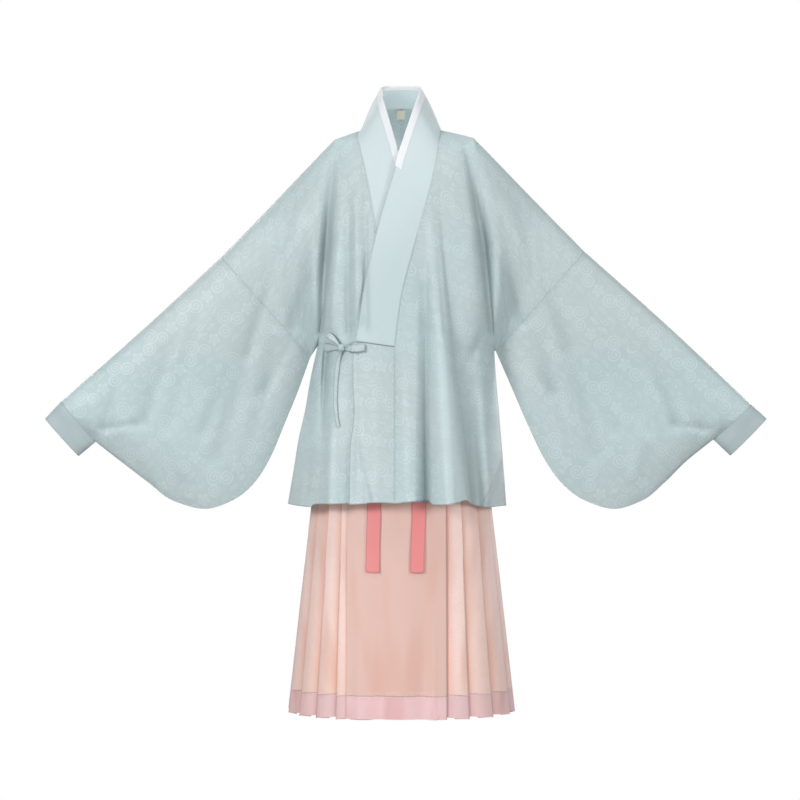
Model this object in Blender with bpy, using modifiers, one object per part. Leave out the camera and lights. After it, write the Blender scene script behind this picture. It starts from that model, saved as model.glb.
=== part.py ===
"""Hanfu set, worn hollow: a cross-collared coat with pipa sleeves over a pleated horse-face skirt.

Metres, +X to the viewer's right (the wearer's left), +Y to the wearer's back, +Z up, origin at the base of the neck.
"""
import bpy
import numpy as np

# Walls and the space kept at seams
COAT_WALL = 0.0015
BAND_WALL = 0.0024
GUARD_WALL = 0.0008
SKIRT_WALL = 0.0010
TIE_WALL = 0.0014
SEAM_GAP = 0.0005
LAYER = 0.0035          # the coat's two fronts stand this far to each side of their mean

# Heights
COLLAR_END = -0.464
COAT_HEM = -0.803
WAISTBAND = (-0.315, -0.385)
SKIRT_HEM = -1.246
SKIRT_BAND = 0.048

# Skirt cut
DOOR_HALF = 0.1073      # half the flat front panel
DOOR_CENTRE = -0.0097
BACK_DOOR_HALF = 0.110
PLEAT_STEP = 0.0022     # from one layer of a pleat to the next
KNOT_LIFT = 0.0091      # the waist knot's centre over the waistband's middle
PLEAT_TUCK = 0.60       # the hidden depth of a pleat over its visible width

ROWS_TOP = (0, 0.025, 0.07, 0.15, 0.26, 0.39, 0.53, 0.68, 0.82, 0.93, 1.0)
ROWS_LOW = (0.10, 0.28, 0.46, 0.64, 0.82, 1.0)
FRONT_COLUMNS = (0, 0.14, 0.26, 0.35, 0.44, 0.53, 0.62, 0.71, 0.81, 0.91, 1.0)
NECK_COLUMNS = (0, 0.25, 0.5, 0.75, 1.0)
BACK_SPREAD = (0, 0.10, 0.20, 0.29, 0.37)
SLEEVE_COLUMNS = (0.18, 0.42, 0.70, 1.0)
LOWER_SLEEVE = (0, 0.10, 0.22, 0.34, 0.46, 0.57, 0.67, 0.76, 0.84, 0.92, 1.0)
COLLAR_ACROSS = (0, 0.184, 0.45, 0.73, 1.0)
WAIST_STATIONS = 30
SKIRT_ROWS = (-0.3855, -0.50, -0.63, -0.78, -0.92, -1.07, -1.1975)

COLOURS = {
    "ao": (0.60, 0.68, 0.68), "plain": (0.66, 0.72, 0.75), "white": (0.90, 0.90, 0.88), "label": (0.88, 0.84, 0.74),
    "skirt": (0.85, 0.66, 0.58), "band": (0.74, 0.55, 0.58), "tie": (0.86, 0.40, 0.40),
}


class Curve:
    """A smooth line through a table's rows, its first column the parameter; it never passes a row's value."""

    def __init__(self, *rows):
        rows = np.array(sorted(rows), float)
        self.at, self.value = rows[:, 0], rows[:, 1:]
        step = np.diff(self.at)[:, None]
        rise = np.diff(self.value, axis=0) / step
        self.slope = np.zeros_like(self.value)
        self.slope[0], self.slope[-1] = rise[0], rise[-1]
        one, two = 2 * step[1:] + step[:-1], step[1:] + 2 * step[:-1]
        same = rise[:-1] * rise[1:] > 0
        left, right = np.where(same, rise[:-1], 1), np.where(same, rise[1:], 1)
        self.slope[1:-1] = np.where(same, (one + two) / (one / left + two / right), 0)

    def __call__(self, at):
        at = np.clip(np.asarray(at, float), self.at[0], self.at[-1])
        i = np.clip(np.searchsorted(self.at, at) - 1, 0, len(self.at) - 2)
        step = self.at[i + 1] - self.at[i]
        t = ((at - self.at[i]) / step)[..., None]
        step = step[..., None]
        out = (
            (1 + 2 * t) * (1 - t) ** 2 * self.value[i] + t * (1 - t) ** 2 * step * self.slope[i]
            + t * t * (3 - 2 * t) * self.value[i + 1] + t * t * (t - 1) * step * self.slope[i + 1]
        )
        return out[..., 0] if out.shape[-1] == 1 else out


def smooth(low, high, value):
    t = np.clip((np.asarray(value, float) - low) / (high - low), 0, 1)
    return t * t * (3 - 2 * t)


def mix(a, b, t):
    return a + (b - a) * t


# The coat's body, as depths from a middle sheet. q is the distance below the shoulder line.
MIDDLE = Curve((-0.46, 0.0), (-0.25, 0.006), (-0.10, 0.012), (0.07, 0.018))
FRONT_DEPTH = Curve((0, 0), (0.004, 0.012), (0.012, 0.027), (0.03, 0.049), (0.06, 0.070), (0.11, 0.094), (0.20, 0.114),
                    (0.30, 0.124), (0.40, 0.127), (0.47, 0.129), (0.56, 0.137), (0.66, 0.151), (0.82, 0.182))
BACK_DEPTH = Curve((0, 0), (0.004, 0.014), (0.012, 0.030), (0.03, 0.052), (0.06, 0.074), (0.11, 0.095), (0.20, 0.106),
                   (0.30, 0.108), (0.40, 0.109), (0.47, 0.115), (0.56, 0.130), (0.66, 0.149), (0.82, 0.180))
CLOSING = Curve((-0.02, 0.30), (-0.23, 0.45), (-0.36, 0.62), (-0.43, 0.85), (-0.463, 1.0))
BACK_NECK = Curve((0, 0, 0.105, 0.067), (0.25, 0.030, 0.100, 0.064), (0.5, 0.056, 0.084, 0.053),
                  (0.75, 0.077, 0.056, 0.034), (1, 0.0875, 0.018, 0.009))
BACK_START = Curve((0, 0.090), (0.25, 0.078), (0.5, 0.047), (0.75, 0.018), (1, 0.0))

# Each side's outline. Rows: (height, x) unless said.
SEAM = {
    -1: Curve((0.008, -0.0885), (-0.008, -0.0945), (-0.037, -0.0885), (-0.0745, -0.0795), (-0.112, -0.0716),
              (-0.152, -0.0641), (-0.215, -0.0533), (-0.287, -0.0428), (-0.37, -0.025), (COLLAR_END, -0.005)),
    1: Curve((0.010, 0.0859), (-0.0128, 0.0834), (-0.045, 0.0785), (-0.1067, 0.0663), (-0.1935, 0.0437),
             (-0.2752, 0.0213), (-0.3625, 0.0), (COLLAR_END, -0.0134)),
}
TIP = {-1: (-0.1435, -0.015), 1: (0.1565, -0.0105)}
ARMHOLE = {
    -1: Curve((-0.015, -0.1435), (-0.143, -0.1476), (-0.273, -0.154), (-0.36, -0.165), (-0.458, -0.180)),
    1: Curve((-0.0105, 0.1565), (-0.1215, 0.171), (-0.23, 0.182), (-0.36, 0.193), (-0.4687, 0.202)),
}
ARMPIT = {-1: -0.458, 1: -0.4687}
SIDE = {
    -1: Curve((-0.458, -0.180), (-0.53, -0.196), (-0.60, -0.208), (-0.66, -0.2215), (-0.73, -0.233), (-0.801, -0.245)),
    1: Curve((-0.4687, 0.202), (-0.53, 0.206), (-0.60, 0.212), (-0.66, 0.217), (-0.73, 0.2225), (-0.806, 0.228)),
}
HEM = {
    -1: Curve((-0.245, -0.801), (-0.216, -0.802), (-0.168, -0.798), (-0.115, -0.795), (0.0, -0.792)),
    1: Curve((-0.0134, -0.7945), (0.05, -0.790), (0.062, -0.792), (0.085, -0.797), (0.12, -0.794), (0.145, -0.792),
             (0.165, -0.801), (0.1975, -0.806), (0.228, -0.806)),
}
GORE = Curve((-0.697, 0.219), (-0.803, 0.170))

# Large folds. Rows: x, z, depth at one end, then at the other, and the width. A minus depth is a ridge.
FRONT_FOLDS = {
    -1: ((-0.135, -0.050, 0.004, -0.160, -0.250, 0.024, 0.020), (-0.160, -0.250, 0.024, -0.178, -0.430, 0.006, 0.018),
         (-0.077, -0.140, 0.002, -0.077, -0.430, 0.006, 0.014), (-0.110, -0.140, 0.002, -0.111, -0.430, 0.008, 0.014),
         (-0.094, -0.145, -0.006, -0.094, -0.400, -0.003, 0.016),
         (-0.163, -0.480, 0.010, -0.172, -0.660, 0.004, 0.014), (-0.140, -0.600, -0.002, -0.145, -0.810, -0.008, 0.022),
         (-0.200, -0.600, -0.002, -0.212, -0.810, -0.006, 0.018)),
    1: ((0.150, -0.050, 0.004, 0.182, -0.250, 0.026, 0.020), (0.182, -0.250, 0.026, 0.198, -0.440, 0.006, 0.018),
        (0.051, -0.210, 0.001, 0.051, -0.420, 0.006, 0.014), (0.051, -0.420, 0.006, 0.052, -0.810, 0.014, 0.015),
        (0.083, -0.350, 0.000, 0.092, -0.560, -0.014, 0.024), (0.092, -0.560, -0.014, 0.104, -0.810, -0.026, 0.026),
        (0.150, -0.480, 0.003, 0.165, -0.810, 0.010, 0.016)),
}
BACK_FOLDS = ((-0.060, -0.300, 0.001, -0.090, -0.820, 0.012, 0.020), (0.070, -0.260, 0.001, 0.105, -0.820, 0.012, 0.022),
              (-0.150, -0.430, 0.004, -0.165, -0.820, 0.010, 0.018), (0.160, -0.430, 0.004, 0.172, -0.820, 0.009, 0.018),
              (-0.110, -0.100, 0.002, -0.165, -0.430, 0.016, 0.018), (0.120, -0.100, 0.002, 0.185, -0.430, 0.016, 0.018))
SLEEVE_FOLDS = {
    -1: ((-0.155, -0.040, 0.004, -0.235, -0.420, 0.012, 0.016), (-0.175, -0.060, 0.002, -0.300, -0.560, 0.010, 0.020),
         (-0.260, -0.200, 0.002, -0.400, -0.700, 0.010, 0.022), (-0.190, -0.060, -0.002, -0.265, -0.430, -0.008, 0.018),
         (-0.480, -0.420, 0.002, -0.560, -0.620, 0.008, 0.020)),
    1: ((0.170, -0.040, 0.004, 0.255, -0.410, 0.012, 0.016), (0.190, -0.060, 0.002, 0.320, -0.560, 0.010, 0.020),
        (0.280, -0.190, 0.002, 0.420, -0.690, 0.010, 0.022), (0.205, -0.060, -0.002, 0.285, -0.420, -0.008, 0.018),
        (0.500, -0.410, 0.002, 0.590, -0.620, 0.008, 0.020)),
}

# Sleeve outline in front view. Rows: share along the sleeve, x, z.
SLEEVE_TOP = {
    -1: Curve((0, -0.390, -0.267), (0.5, -0.566, -0.430), (1, -0.737, -0.580)),
    1: Curve((0, 0.398, -0.255), (0.5, 0.581, -0.419), (1, 0.759, -0.587)),
}
SLEEVE_BOTTOM = {
    -1: Curve((0, -0.197, -0.484), (0.12, -0.2220, -0.553), (0.26, -0.2515, -0.6255), (0.38, -0.2885, -0.711),
              (0.47, -0.321, -0.7595), (0.55, -0.3645, -0.794), (0.635, -0.425, -0.813), (0.73, -0.497, -0.794),
              (0.80, -0.547, -0.7565), (0.90, -0.606, -0.7115), (1, -0.663, -0.667)),
    1: Curve((0, 0.217, -0.468), (0.12, 0.2430, -0.556), (0.26, 0.2730, -0.6255), (0.38, 0.3150, -0.711),
             (0.47, 0.351, -0.7595), (0.55, 0.3975, -0.794), (0.635, 0.462, -0.813), (0.73, 0.525, -0.794),
             (0.80, 0.571, -0.7565), (0.90, 0.6165, -0.7115), (1, 0.678, -0.662)),
}
CUFF = {-1: ((-0.737, -0.580), (-0.663, -0.667), (-0.772, -0.618), (-0.700, -0.698)),
        1: ((0.759, -0.587), (0.678, -0.662), (0.793, -0.618), (0.715, -0.697))}
FULLNESS = Curve((0, 0), (0.025, 0.36), (0.07, 0.60), (0.15, 0.84), (0.26, 0.98), (0.39, 1.0), (0.53, 0.88),
                 (0.68, 0.66), (0.82, 0.42), (0.93, 0.21), (1, 0))
SLEEVE_HALF = Curve((0, 0.040), (0.35, 0.034), (0.7, 0.030), (1, 0.021))

# The collar's leading edge. Rows: share of the front's height from the neck point, x, z; then its neck part with y.
LEADING = {
    1: Curve((0, 0.0378, 0.078), (0.045, 0.0295, 0.056), (0.107, 0.0148, 0.012), (0.172, 0.0048, -0.018),
             (0.236, -0.0052, -0.048), (0.298, -0.0128, -0.080), (0.425, -0.0390, -0.169), (0.595, -0.0605, -0.254),
             (0.785, -0.0806, -0.347), (0.895, -0.0897, -0.404), (1, -0.0968, -0.452)),
    -1: Curve((0, -0.0412, 0.078), (0.034, -0.0348, 0.056), (0.0955, -0.0231, 0.015), (0.175, -0.0100, -0.032),
              (0.254, 0.0045, -0.083), (0.339, 0.0180, -0.130), (0.4725, 0.0305, -0.199), (0.625, 0.0420, -0.271),
              (0.801, 0.059, -0.350), (1, 0.079, -0.444)),
}
LEADING_Y = Curve((0, -0.016), (0.045, -0.030), (0.107, -0.043), (0.172, -0.050), (0.236, -0.053), (0.3, -0.066))
BACK_LEADING = Curve((0, 0, 0.040, 0.108), (0.25, 0.018, 0.037, 0.1065), (0.5, 0.033, 0.025, 0.102),
                     (0.75, 0.041, 0.006, 0.094), (1, 0.0385, -0.016, 0.078))
OVERLAP_EDGE = Curve((-0.4525, -0.0972), (-0.493, -0.1027), (-0.555, -0.1020), (-0.592, -0.0995), (-0.63, -0.1015),
                     (-0.675, -0.108), (-0.795, -0.1095))

# Skirt sections. Rows: height, half width, front depth, back depth.
SKIRT = Curve((-0.30, 0.130, 0.096, 0.094), (-0.385, 0.135, 0.099, 0.096), (-0.45, 0.149, 0.108, 0.098),
              (-0.55, 0.165, 0.118, 0.106), (-0.65, 0.178, 0.128, 0.120), (-0.80, 0.1955, 0.144, 0.143),
              (-1.0, 0.219, 0.166, 0.168), (-1.246, 0.2475, 0.196, 0.196))
PLEATS = {-1: (0.13, 0.335, 0.55, 0.80), 1: (0.20, 0.445, 0.70, 0.90)}
BACK_PLEATS = (0.19, 0.42, 0.66, 0.88)
PANEL_COLUMNS = (0, 0.06, 0.14, 0.25, 0.40, 0.58, 0.80)
WAIST_PLEATS = (0.26, 0.48, 0.70, 0.90)
PANEL_FOLDS = ((-0.045, -0.90, 0.001, -0.043, -1.246, 0.007, 0.014), (0.040, -0.88, 0.001, 0.047, -1.246, 0.007, 0.015))


def relief(x, z, folds):
    """The depth that a table of folds gives to a sheet at x, z."""
    deep = np.zeros(np.broadcast(x, z).shape)
    for x1, z1, first, x2, z2, last, width in folds:
        dx, dz = x2 - x1, z2 - z1
        along = np.clip(((x - x1) * dx + (z - z1) * dz) / (dx * dx + dz * dz), 0, 1)
        away = np.hypot(x - x1 - along * dx, z - z1 - along * dz)
        deep += mix(first, last, along) * np.exp(-((away / width) ** 2))
    return deep


def half_width(side, z):
    return np.abs(np.where(z > ARMPIT[side], ARMHOLE[side](z), SIDE[side](z)))


def lateral(side, x, z):
    """How full the body is at x, one at the centre and nothing at a side seam."""
    share = np.clip(np.abs(x) / half_width(side, z), 0, 1)
    closing = CLOSING(z + (-0.463 - ARMPIT[side]))
    return np.sqrt(np.clip(1 - closing * share ** 2.4, 0, 1))


def layer(side, x, down):
    """The two fronts part where they lie over each other. The left front is the outer one."""
    fade = smooth(0.17, 0.11, x * side)
    return -side * LAYER * smooth(0, 0.15, down) * fade


def front_y(side, x, z, down):
    full = FRONT_DEPTH(0.008 - z) * lateral(1 if x > 0 else -1, x, z)
    near_side = smooth(0.0, 0.03, half_width(side, z) - abs(x) + 0.03 * (z > ARMPIT[side]))
    folds = relief(x, z, FRONT_FOLDS[-1] + FRONT_FOLDS[1]) * smooth(0, 0.08, down) * near_side
    return float(MIDDLE(z) - full + folds + layer(side, x, down))


def upper_front(side, c, r):
    """The front sheet between the collar seam and the armhole line."""
    top = float(SEAM[side].at[-1])
    z0 = mix(top, COLLAR_END, r)
    x0 = float(SEAM[side](z0))
    z1 = mix(TIP[side][1], ARMPIT[side], r)
    x1 = float(ARMHOLE[side](z1))
    x, z = mix(x0, x1, c), mix(z0, z1, c)
    if r == 0:
        return x, float(MIDDLE(z)), z
    y = front_y(side, x, z, r)
    return x, (float(MIDDLE(z)) if r == 1 and c == 1 else y), z


def lower_front(side, c, v):
    x_in = float(SEAM[side](COLLAR_END))
    z_top = mix(COLLAR_END, ARMPIT[side], c)
    z_side = mix(ARMPIT[side], float(HEM[side].value[0 if side < 0 else -1][0]), v)
    x_out = float(SIDE[side](z_side))
    if side > 0 and z_side < GORE.at[-1]:
        x_out = float(GORE(z_side))
    x = mix(x_in, x_out, c)
    z = mix(z_top, float(HEM[side](x)), v)
    if side > 0 and z_side < GORE.at[-1]:
        return x, front_y(side, x, z, 1), z
    return x, (float(MIDDLE(z)) if c == 1 else front_y(side, x, z, 1)), z


def back_point(side, column, r, v):
    """The back sheet. column counts from the centre back to the armhole or side seam."""
    inner = len(NECK_COLUMNS) - 1
    if column <= inner:
        x_top, _, z_top = BACK_NECK(NECK_COLUMNS[column])
        x_top, start = side * x_top, float(BACK_START(NECK_COLUMNS[column]))
        spread = BACK_SPREAD[column]
        if column == inner:
            x_top, z_top = float(SEAM[side].value[-1][0]), float(SEAM[side].at[-1])
    else:
        c = FRONT_COLUMNS[column - inner]
        x_top, _, z_top = upper_front(side, c, 0)
        start, spread = 0.0, mix(BACK_SPREAD[-1], 1, c)
    low = ARMPIT[side]
    if r < 1:
        z = mix(z_top, low, r)
        arm = float(ARMHOLE[side](z if column > inner else low))
        x = mix(x_top, spread * arm, r) if spread < 1 else arm
        q = mix(start, 0.47, r)
    else:
        z = mix(low, COAT_HEM, v)
        x = spread * float(SIDE[side](z))
        q = 0.47 + low - z
    if r == 0 and column >= inner:
        return x, float(MIDDLE(z)), z
    if spread == 1 and r >= 1:
        return x, float(MIDDLE(z)), z
    y = MIDDLE(z) + BACK_DEPTH(q) * lateral(side, x, z)
    near_side = 1 if r < 1 else smooth(0, 0.03, half_width(side, z) - abs(x))
    y = y - relief(x, z, BACK_FOLDS) * smooth(0, 0.08, r) * near_side
    if column == 0:
        x = side * SEAM_GAP
    return x, float(y), z


def sleeve_section(side, top, bottom, half, r, front, start=None, blend=1.0):
    """A point of a sleeve's section, from its top fold (r 0) to its lower seam (r 1)."""
    x, z = mix(top[0], bottom[0], r), mix(top[1], bottom[1], r)
    middle = mix(float(MIDDLE(max(z, -0.46))), 0.004, 0.5)
    y = middle + (-1 if front else 1) * half * float(FULLNESS(r))
    y += float(relief(x, z, SLEEVE_FOLDS[side])) * (1 if front else 0.6) * float(FULLNESS(r))
    if start is not None:
        y = mix(start, y, blend)
    return x, y, z


def body(side):
    """One half of the coat: front, back and upper sleeve, two sheets joined at the folds and seams."""
    points, index = [], {}

    def add(key, point):
        if key not in index:
            index[key] = len(points)
            points.append(point)
        return index[key]

    inner, last = len(NECK_COLUMNS) - 1, len(FRONT_COLUMNS) - 1
    rows = [(r, 0) for r in ROWS_TOP] + [(1, v) for v in ROWS_LOW]
    pit = len(ROWS_TOP) - 1
    gore_row = [i for i, (r, v) in enumerate(rows)
                if side > 0 and r == 1 and mix(ARMPIT[1], float(HEM[1].value[-1][0]), v) < GORE.at[-1]]

    def front(i, j):
        r, v = rows[i]
        if i == 0:
            return add(("fold", j), upper_front(side, FRONT_COLUMNS[j], 0))
        if j == last and i >= pit and i not in gore_row:
            return add(("side", i), upper_front(side, 1, 1) if i == pit else lower_front(side, 1, v))
        c = FRONT_COLUMNS[j]
        return add(("front", i, j), upper_front(side, c, r) if i <= pit else lower_front(side, c, v))

    def back(i, j):
        r, v = rows[i]
        if i == 0 and j >= inner:
            return add(("fold", j - inner), upper_front(side, FRONT_COLUMNS[j - inner], 0))
        if j == inner + last and i >= pit and i not in gore_row:
            return front(i, last)
        return add(("back", i, j), back_point(side, j, r, v))

    def sleeve(i, k, is_front):
        if k < 0:
            return front(i, last) if is_front else back(i, inner + last)
        r, w = ROWS_TOP[i], SLEEVE_COLUMNS[k]
        z = mix(TIP[side][1], ARMPIT[side], r)
        root = (float(ARMHOLE[side](z)), z)
        top = (mix(TIP[side][0], SLEEVE_TOP[side].value[0][0], w), mix(TIP[side][1], SLEEVE_TOP[side].value[0][1], w))
        low = (mix(root[0], mix(SLEEVE_TOP[side].value[0][0], SLEEVE_BOTTOM[side].value[0][0], r), w),
               mix(root[1], mix(SLEEVE_TOP[side].value[0][1], SLEEVE_BOTTOM[side].value[0][1], r), w))
        key = ("fold" if i == 0 else "under" if i == pit else ("s", is_front, i), 100 + k)
        start = points[front(i, last) if is_front else back(i, inner + last)][1]
        place = low if i else top
        if 0 < i < pit:
            half, share = float(SLEEVE_HALF(0)), float(smooth(0, 0.8, w))
            return add(key, sleeve_section(side, place, place, half, r, is_front, start, share))
        return add(key, (place[0], mix(start, mix(float(MIDDLE(place[1])), 0.004, 0.5), w), place[1]))

    faces = []
    for i in range(len(rows) - 1):
        for j in range(last):
            faces.append((front(i, j), front(i + 1, j), front(i + 1, j + 1), front(i, j + 1)))
        for j in range(inner + last):
            faces.append((back(i, j + 1), back(i + 1, j + 1), back(i + 1, j), back(i, j)))
        if i < pit:
            for k in range(-1, len(SLEEVE_COLUMNS) - 1):
                corners = ((i, k), (i + 1, k), (i + 1, k + 1), (i, k + 1))
                faces.append(tuple(sleeve(*corner, True) for corner in corners))
                corners = ((i, k + 1), (i + 1, k + 1), (i + 1, k), (i, k))
                faces.append(tuple(sleeve(*corner, False) for corner in corners))
    return points, faces


def gore():
    """The triangle between the left side seam and the slanting seam of the front, above the hem."""
    hem = float(HEM[1].value[-1][0])
    heights = [mix(ARMPIT[1], hem, v) for v in ROWS_LOW if mix(ARMPIT[1], hem, v) < GORE.at[-1]]
    points = []
    for z_side in heights:
        x_in, x_out = float(GORE(z_side)) + SEAM_GAP, float(SIDE[1](z_side))
        for c in (0, 0.5, 1):
            x = mix(x_in, x_out, c)
            z = mix(float(mix(ARMPIT[1], float(HEM[1](x)), (ARMPIT[1] - z_side) / (ARMPIT[1] - hem))), z_side, c)
            y = front_y(1, x, z, 1)
            points.append((x, mix(y, -0.0012 - COAT_WALL, c ** 2), z))
    apex = heights[0] + 0.03
    points.insert(0, (float(SIDE[1](apex)) - 0.0045, front_y(1, float(SIDE[1](apex)) - 0.0045, apex, 1), apex))
    faces = [(0, 1, 2), (0, 2, 3)]
    for i in range(len(heights) - 1):
        for j in range(2):
            a = 1 + 3 * i + j
            faces.append((a, a + 3, a + 4, a + 1))
    return points, faces


def grid_faces(rows, columns, closed=False):
    faces = []
    for i in range(rows - 1):
        for j in range(columns - (0 if closed else 1)):
            k = (j + 1) % columns
            faces.append((i * columns + j, (i + 1) * columns + j, (i + 1) * columns + k, i * columns + k))
    return faces


def split_faces(rows, columns, turned=()):
    """The same grid in triangles, with the other diagonal in the columns of turned."""
    faces = []
    for a, b, c, d in grid_faces(rows, columns):
        faces += [(a, b, d), (b, c, d)] if a % columns in turned else [(a, b, c), (a, c, d)]
    return faces


def lower_sleeve(side):
    rings = []
    for s in LOWER_SLEEVE:
        top, bottom = SLEEVE_TOP[side](s), SLEEVE_BOTTOM[side](s)
        shift = side * SEAM_GAP * 1.6 * (1 - s)
        top, bottom = (top[0] + shift, top[1] - abs(shift)), (bottom[0] + shift, bottom[1] - abs(shift))
        half = float(SLEEVE_HALF(s))
        ring = [sleeve_section(side, top, bottom, half, r, True) for r in ROWS_TOP]
        ring += [sleeve_section(side, top, bottom, half, r, False) for r in ROWS_TOP[-2:0:-1]]
        rings.append(ring)
    return [p for ring in rings for p in ring], grid_faces(len(rings), len(rings[0]), True)


def cuff(side):
    top, low, top_end, low_end = CUFF[side]
    rings = []
    for w in (0, 0.5, 1):
        w = max(w, 0.02)
        a = (mix(top[0], top_end[0], w), mix(top[1], top_end[1], w))
        b = (mix(low[0], low_end[0], w), mix(low[1], low_end[1], w))
        half = mix(0.0205, 0.0165, w)
        rows = (0, 0.04, 0.12, 0.27, 0.5, 0.73, 0.88, 0.96, 1)
        around = [(r, -1) for r in rows] + [(r, 1) for r in rows[-2:0:-1]]
        ring = [(mix(a[0], b[0], r), 0.003 + way * half * (1 - abs(2 * r - 1) ** 2.2) ** 0.5, mix(a[1], b[1], r))
                for r, way in around]
        rings.append(ring)
    return [p for ring in rings for p in ring], grid_faces(len(rings), len(rings[0]), True)


def collar_stations():
    """Pairs of side and share: under 0 is the back neck, from 0 to 1 down the front."""
    down = [r for r in ROWS_TOP]
    inner = [(-1, r) for r in reversed(down)]
    neck = [(-1, -t) for t in (0.25, 0.5, 0.75)] + [(0, -1)] + [(1, -t) for t in (0.75, 0.5, 0.25)]
    return inner + neck + [(1, r) for r in down]


def collar_point(side, share, w):
    """A point of the collar, w 0 at the leading edge and 1 at its seam."""
    if share < 0:
        t = 1 + share if side else 0
        mirror = side or 1
        lead, seam = np.array(BACK_LEADING(t)), np.array(BACK_NECK(t))
        lead[0] *= mirror
        seam[0] *= mirror
        bulge = 0.004 * np.sin(np.pi * w)
        p = mix(lead, seam, w)
        return p + np.array((0.6 * mirror * np.sin(t * 1.57), np.cos(t * 1.57) * 0.6, 0.8)) * bulge
    top = float(SEAM[side].at[-1])
    z1 = mix(top, COLLAR_END, share)
    x1 = float(SEAM[side](z1))
    x0, z0 = LEADING[side](share)
    y1 = float(MIDDLE(z1)) if share == 0 else front_y(side, x1, z1, share)
    x, z = mix(x0, x1, w), mix(z0, z1, w)
    y0 = float(LEADING_Y(share)) + (layer(side, x0, share) if share else 0)
    straight = mix(y0, y1, w)
    on_body = front_y(side, x, min(z, 0.0), share)
    return np.array((x, mix(straight, on_body, float(smooth(0.12, 0.34, share))), z))


def collar_grid():
    stations = collar_stations()
    grid = np.array([[collar_point(side, share, w) for w in COLLAR_ACROSS] for side, share in stations])
    across = grid[:, -2] - grid[:, -1]
    gap = np.array([0.0026 if share < 0 else 0.0012 if share < 0.2 else SEAM_GAP for _, share in stations])
    grid[:, -1] += across / np.linalg.norm(across, axis=1)[:, None] * gap[:, None]
    return stations, grid


def grid_normals(grid):
    """Each point's normal, out of the collar's shown face."""
    flat = np.cross(grid[1:, 1:] - grid[:-1, :-1], grid[:-1, 1:] - grid[1:, :-1])
    flat /= np.linalg.norm(flat, axis=2)[..., None]
    normal = np.zeros_like(grid)
    for i, j in ((0, 0), (0, 1), (1, 0), (1, 1)):
        normal[i:len(grid) - 1 + i, j:grid.shape[1] - 1 + j] += flat
    return -normal / np.linalg.norm(normal, axis=2)[..., None]


def guard_grid(stations, grid):
    """The strip folded over the collar's leading edge, with its cut end just below the crossing of the collar."""
    normal = grid_normals(grid)
    keep = [i for i, (_, share) in enumerate(stations) if share <= 0.28]
    off = BAND_WALL / 2 + 0.0007 + GUARD_WALL / 2
    rows = []
    for i in keep:
        lead, inside = grid[i, 0], grid[i, 1]
        out = (lead - inside) / np.linalg.norm(lead - inside)
        n0, n1 = normal[i, 0], normal[i, 1]
        rows.append([inside + n1 * off, lead + n0 * off, lead + out * (off * 0.9), lead - n0 * off, inside - n1 * off])
    return np.array(rows)


def overlap(side):
    """The strip below the collar's end, from the centre-front seam to the free edge."""
    rows, points = (0, 0.10, 0.28, 0.46, 0.64, 0.82, 1.0), []
    columns = (0, 0.25, 0.5, 0.75, 1)
    x_in = float(SEAM[side](COLLAR_END)) - side * SEAM_GAP
    lead_x, lead_z = LEADING[side](1)
    for v in rows:
        for c in columns:
            z_top = mix(COLLAR_END, lead_z, c) - 0.001
            z = mix(z_top, float(HEM[1](x_in)) + 0.002 * np.sin(c * 5), v)
            edge = float(OVERLAP_EDGE(z))
            x = mix(x_in, edge if side > 0 else lead_x + 0.006 * v, c)
            points.append((x, front_y(side, x, z, 1) + (0.003 * c if side < 0 else 0), z))
    return points, grid_faces(len(rows), len(columns))


class Rim:
    """The skirt's section at a height, by arc length from the front centre towards +X."""

    def __init__(self, z):
        wide, front, back = SKIRT(z)
        angle = np.linspace(0, np.pi, 361)
        s, c = np.sin(angle), np.cos(angle)
        x = wide * np.abs(s) ** 0.92
        y = -np.where(c > 0, front, back) * np.sign(c) * np.abs(c) ** 0.92
        self.x, self.y = x, y
        self.arc = np.concatenate([[0], np.cumsum(np.hypot(np.diff(x), np.diff(y)))])
        self.whole = self.arc[-1]
        self.side = float(self.arc[180])

    def point(self, arc, level=0.0):
        turn = 2 * self.whole
        arc = (arc + self.whole) % turn - self.whole
        sign = 1 if arc >= 0 else -1
        x = float(np.interp(abs(arc), self.arc, self.x)) * sign
        y = float(np.interp(abs(arc), self.arc, self.y))
        ahead, behind = min(abs(arc) + 0.002, self.whole), max(abs(arc) - 0.002, 0)
        dx = float(np.interp(ahead, self.arc, self.x) - np.interp(behind, self.arc, self.x)) * sign
        dy = float(np.interp(ahead, self.arc, self.y) - np.interp(behind, self.arc, self.y))
        size = np.hypot(dx, dy)
        nx, ny = dy / size * sign, -dx / size * sign
        return x + nx * level, y + ny * level


def pleat_run(start, edges, level):
    """Knife pleats as (arc, level) from a panel's edge to the side, every fold turned away from the panel."""
    g, run = PLEAT_STEP, []
    folds = [start] + list(edges)
    for k, edge in enumerate(folds):
        width = (folds[k + 1] - edge) if k == 0 else edge - folds[k - 1]
        tuck = PLEAT_TUCK * min(width, (folds[k + 1] - edge) if k + 1 < len(folds) else width)
        at_edge = level if k == 0 else 0.0
        back = at_edge if k == 0 else -2 * g * tuck / width
        run += [(edge - tuck, back), (edge, at_edge), (edge, at_edge - g), (edge - tuck, back - g),
                (edge - tuck, back - 2 * g), (edge, at_edge - 2 * g)]
    return run


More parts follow.
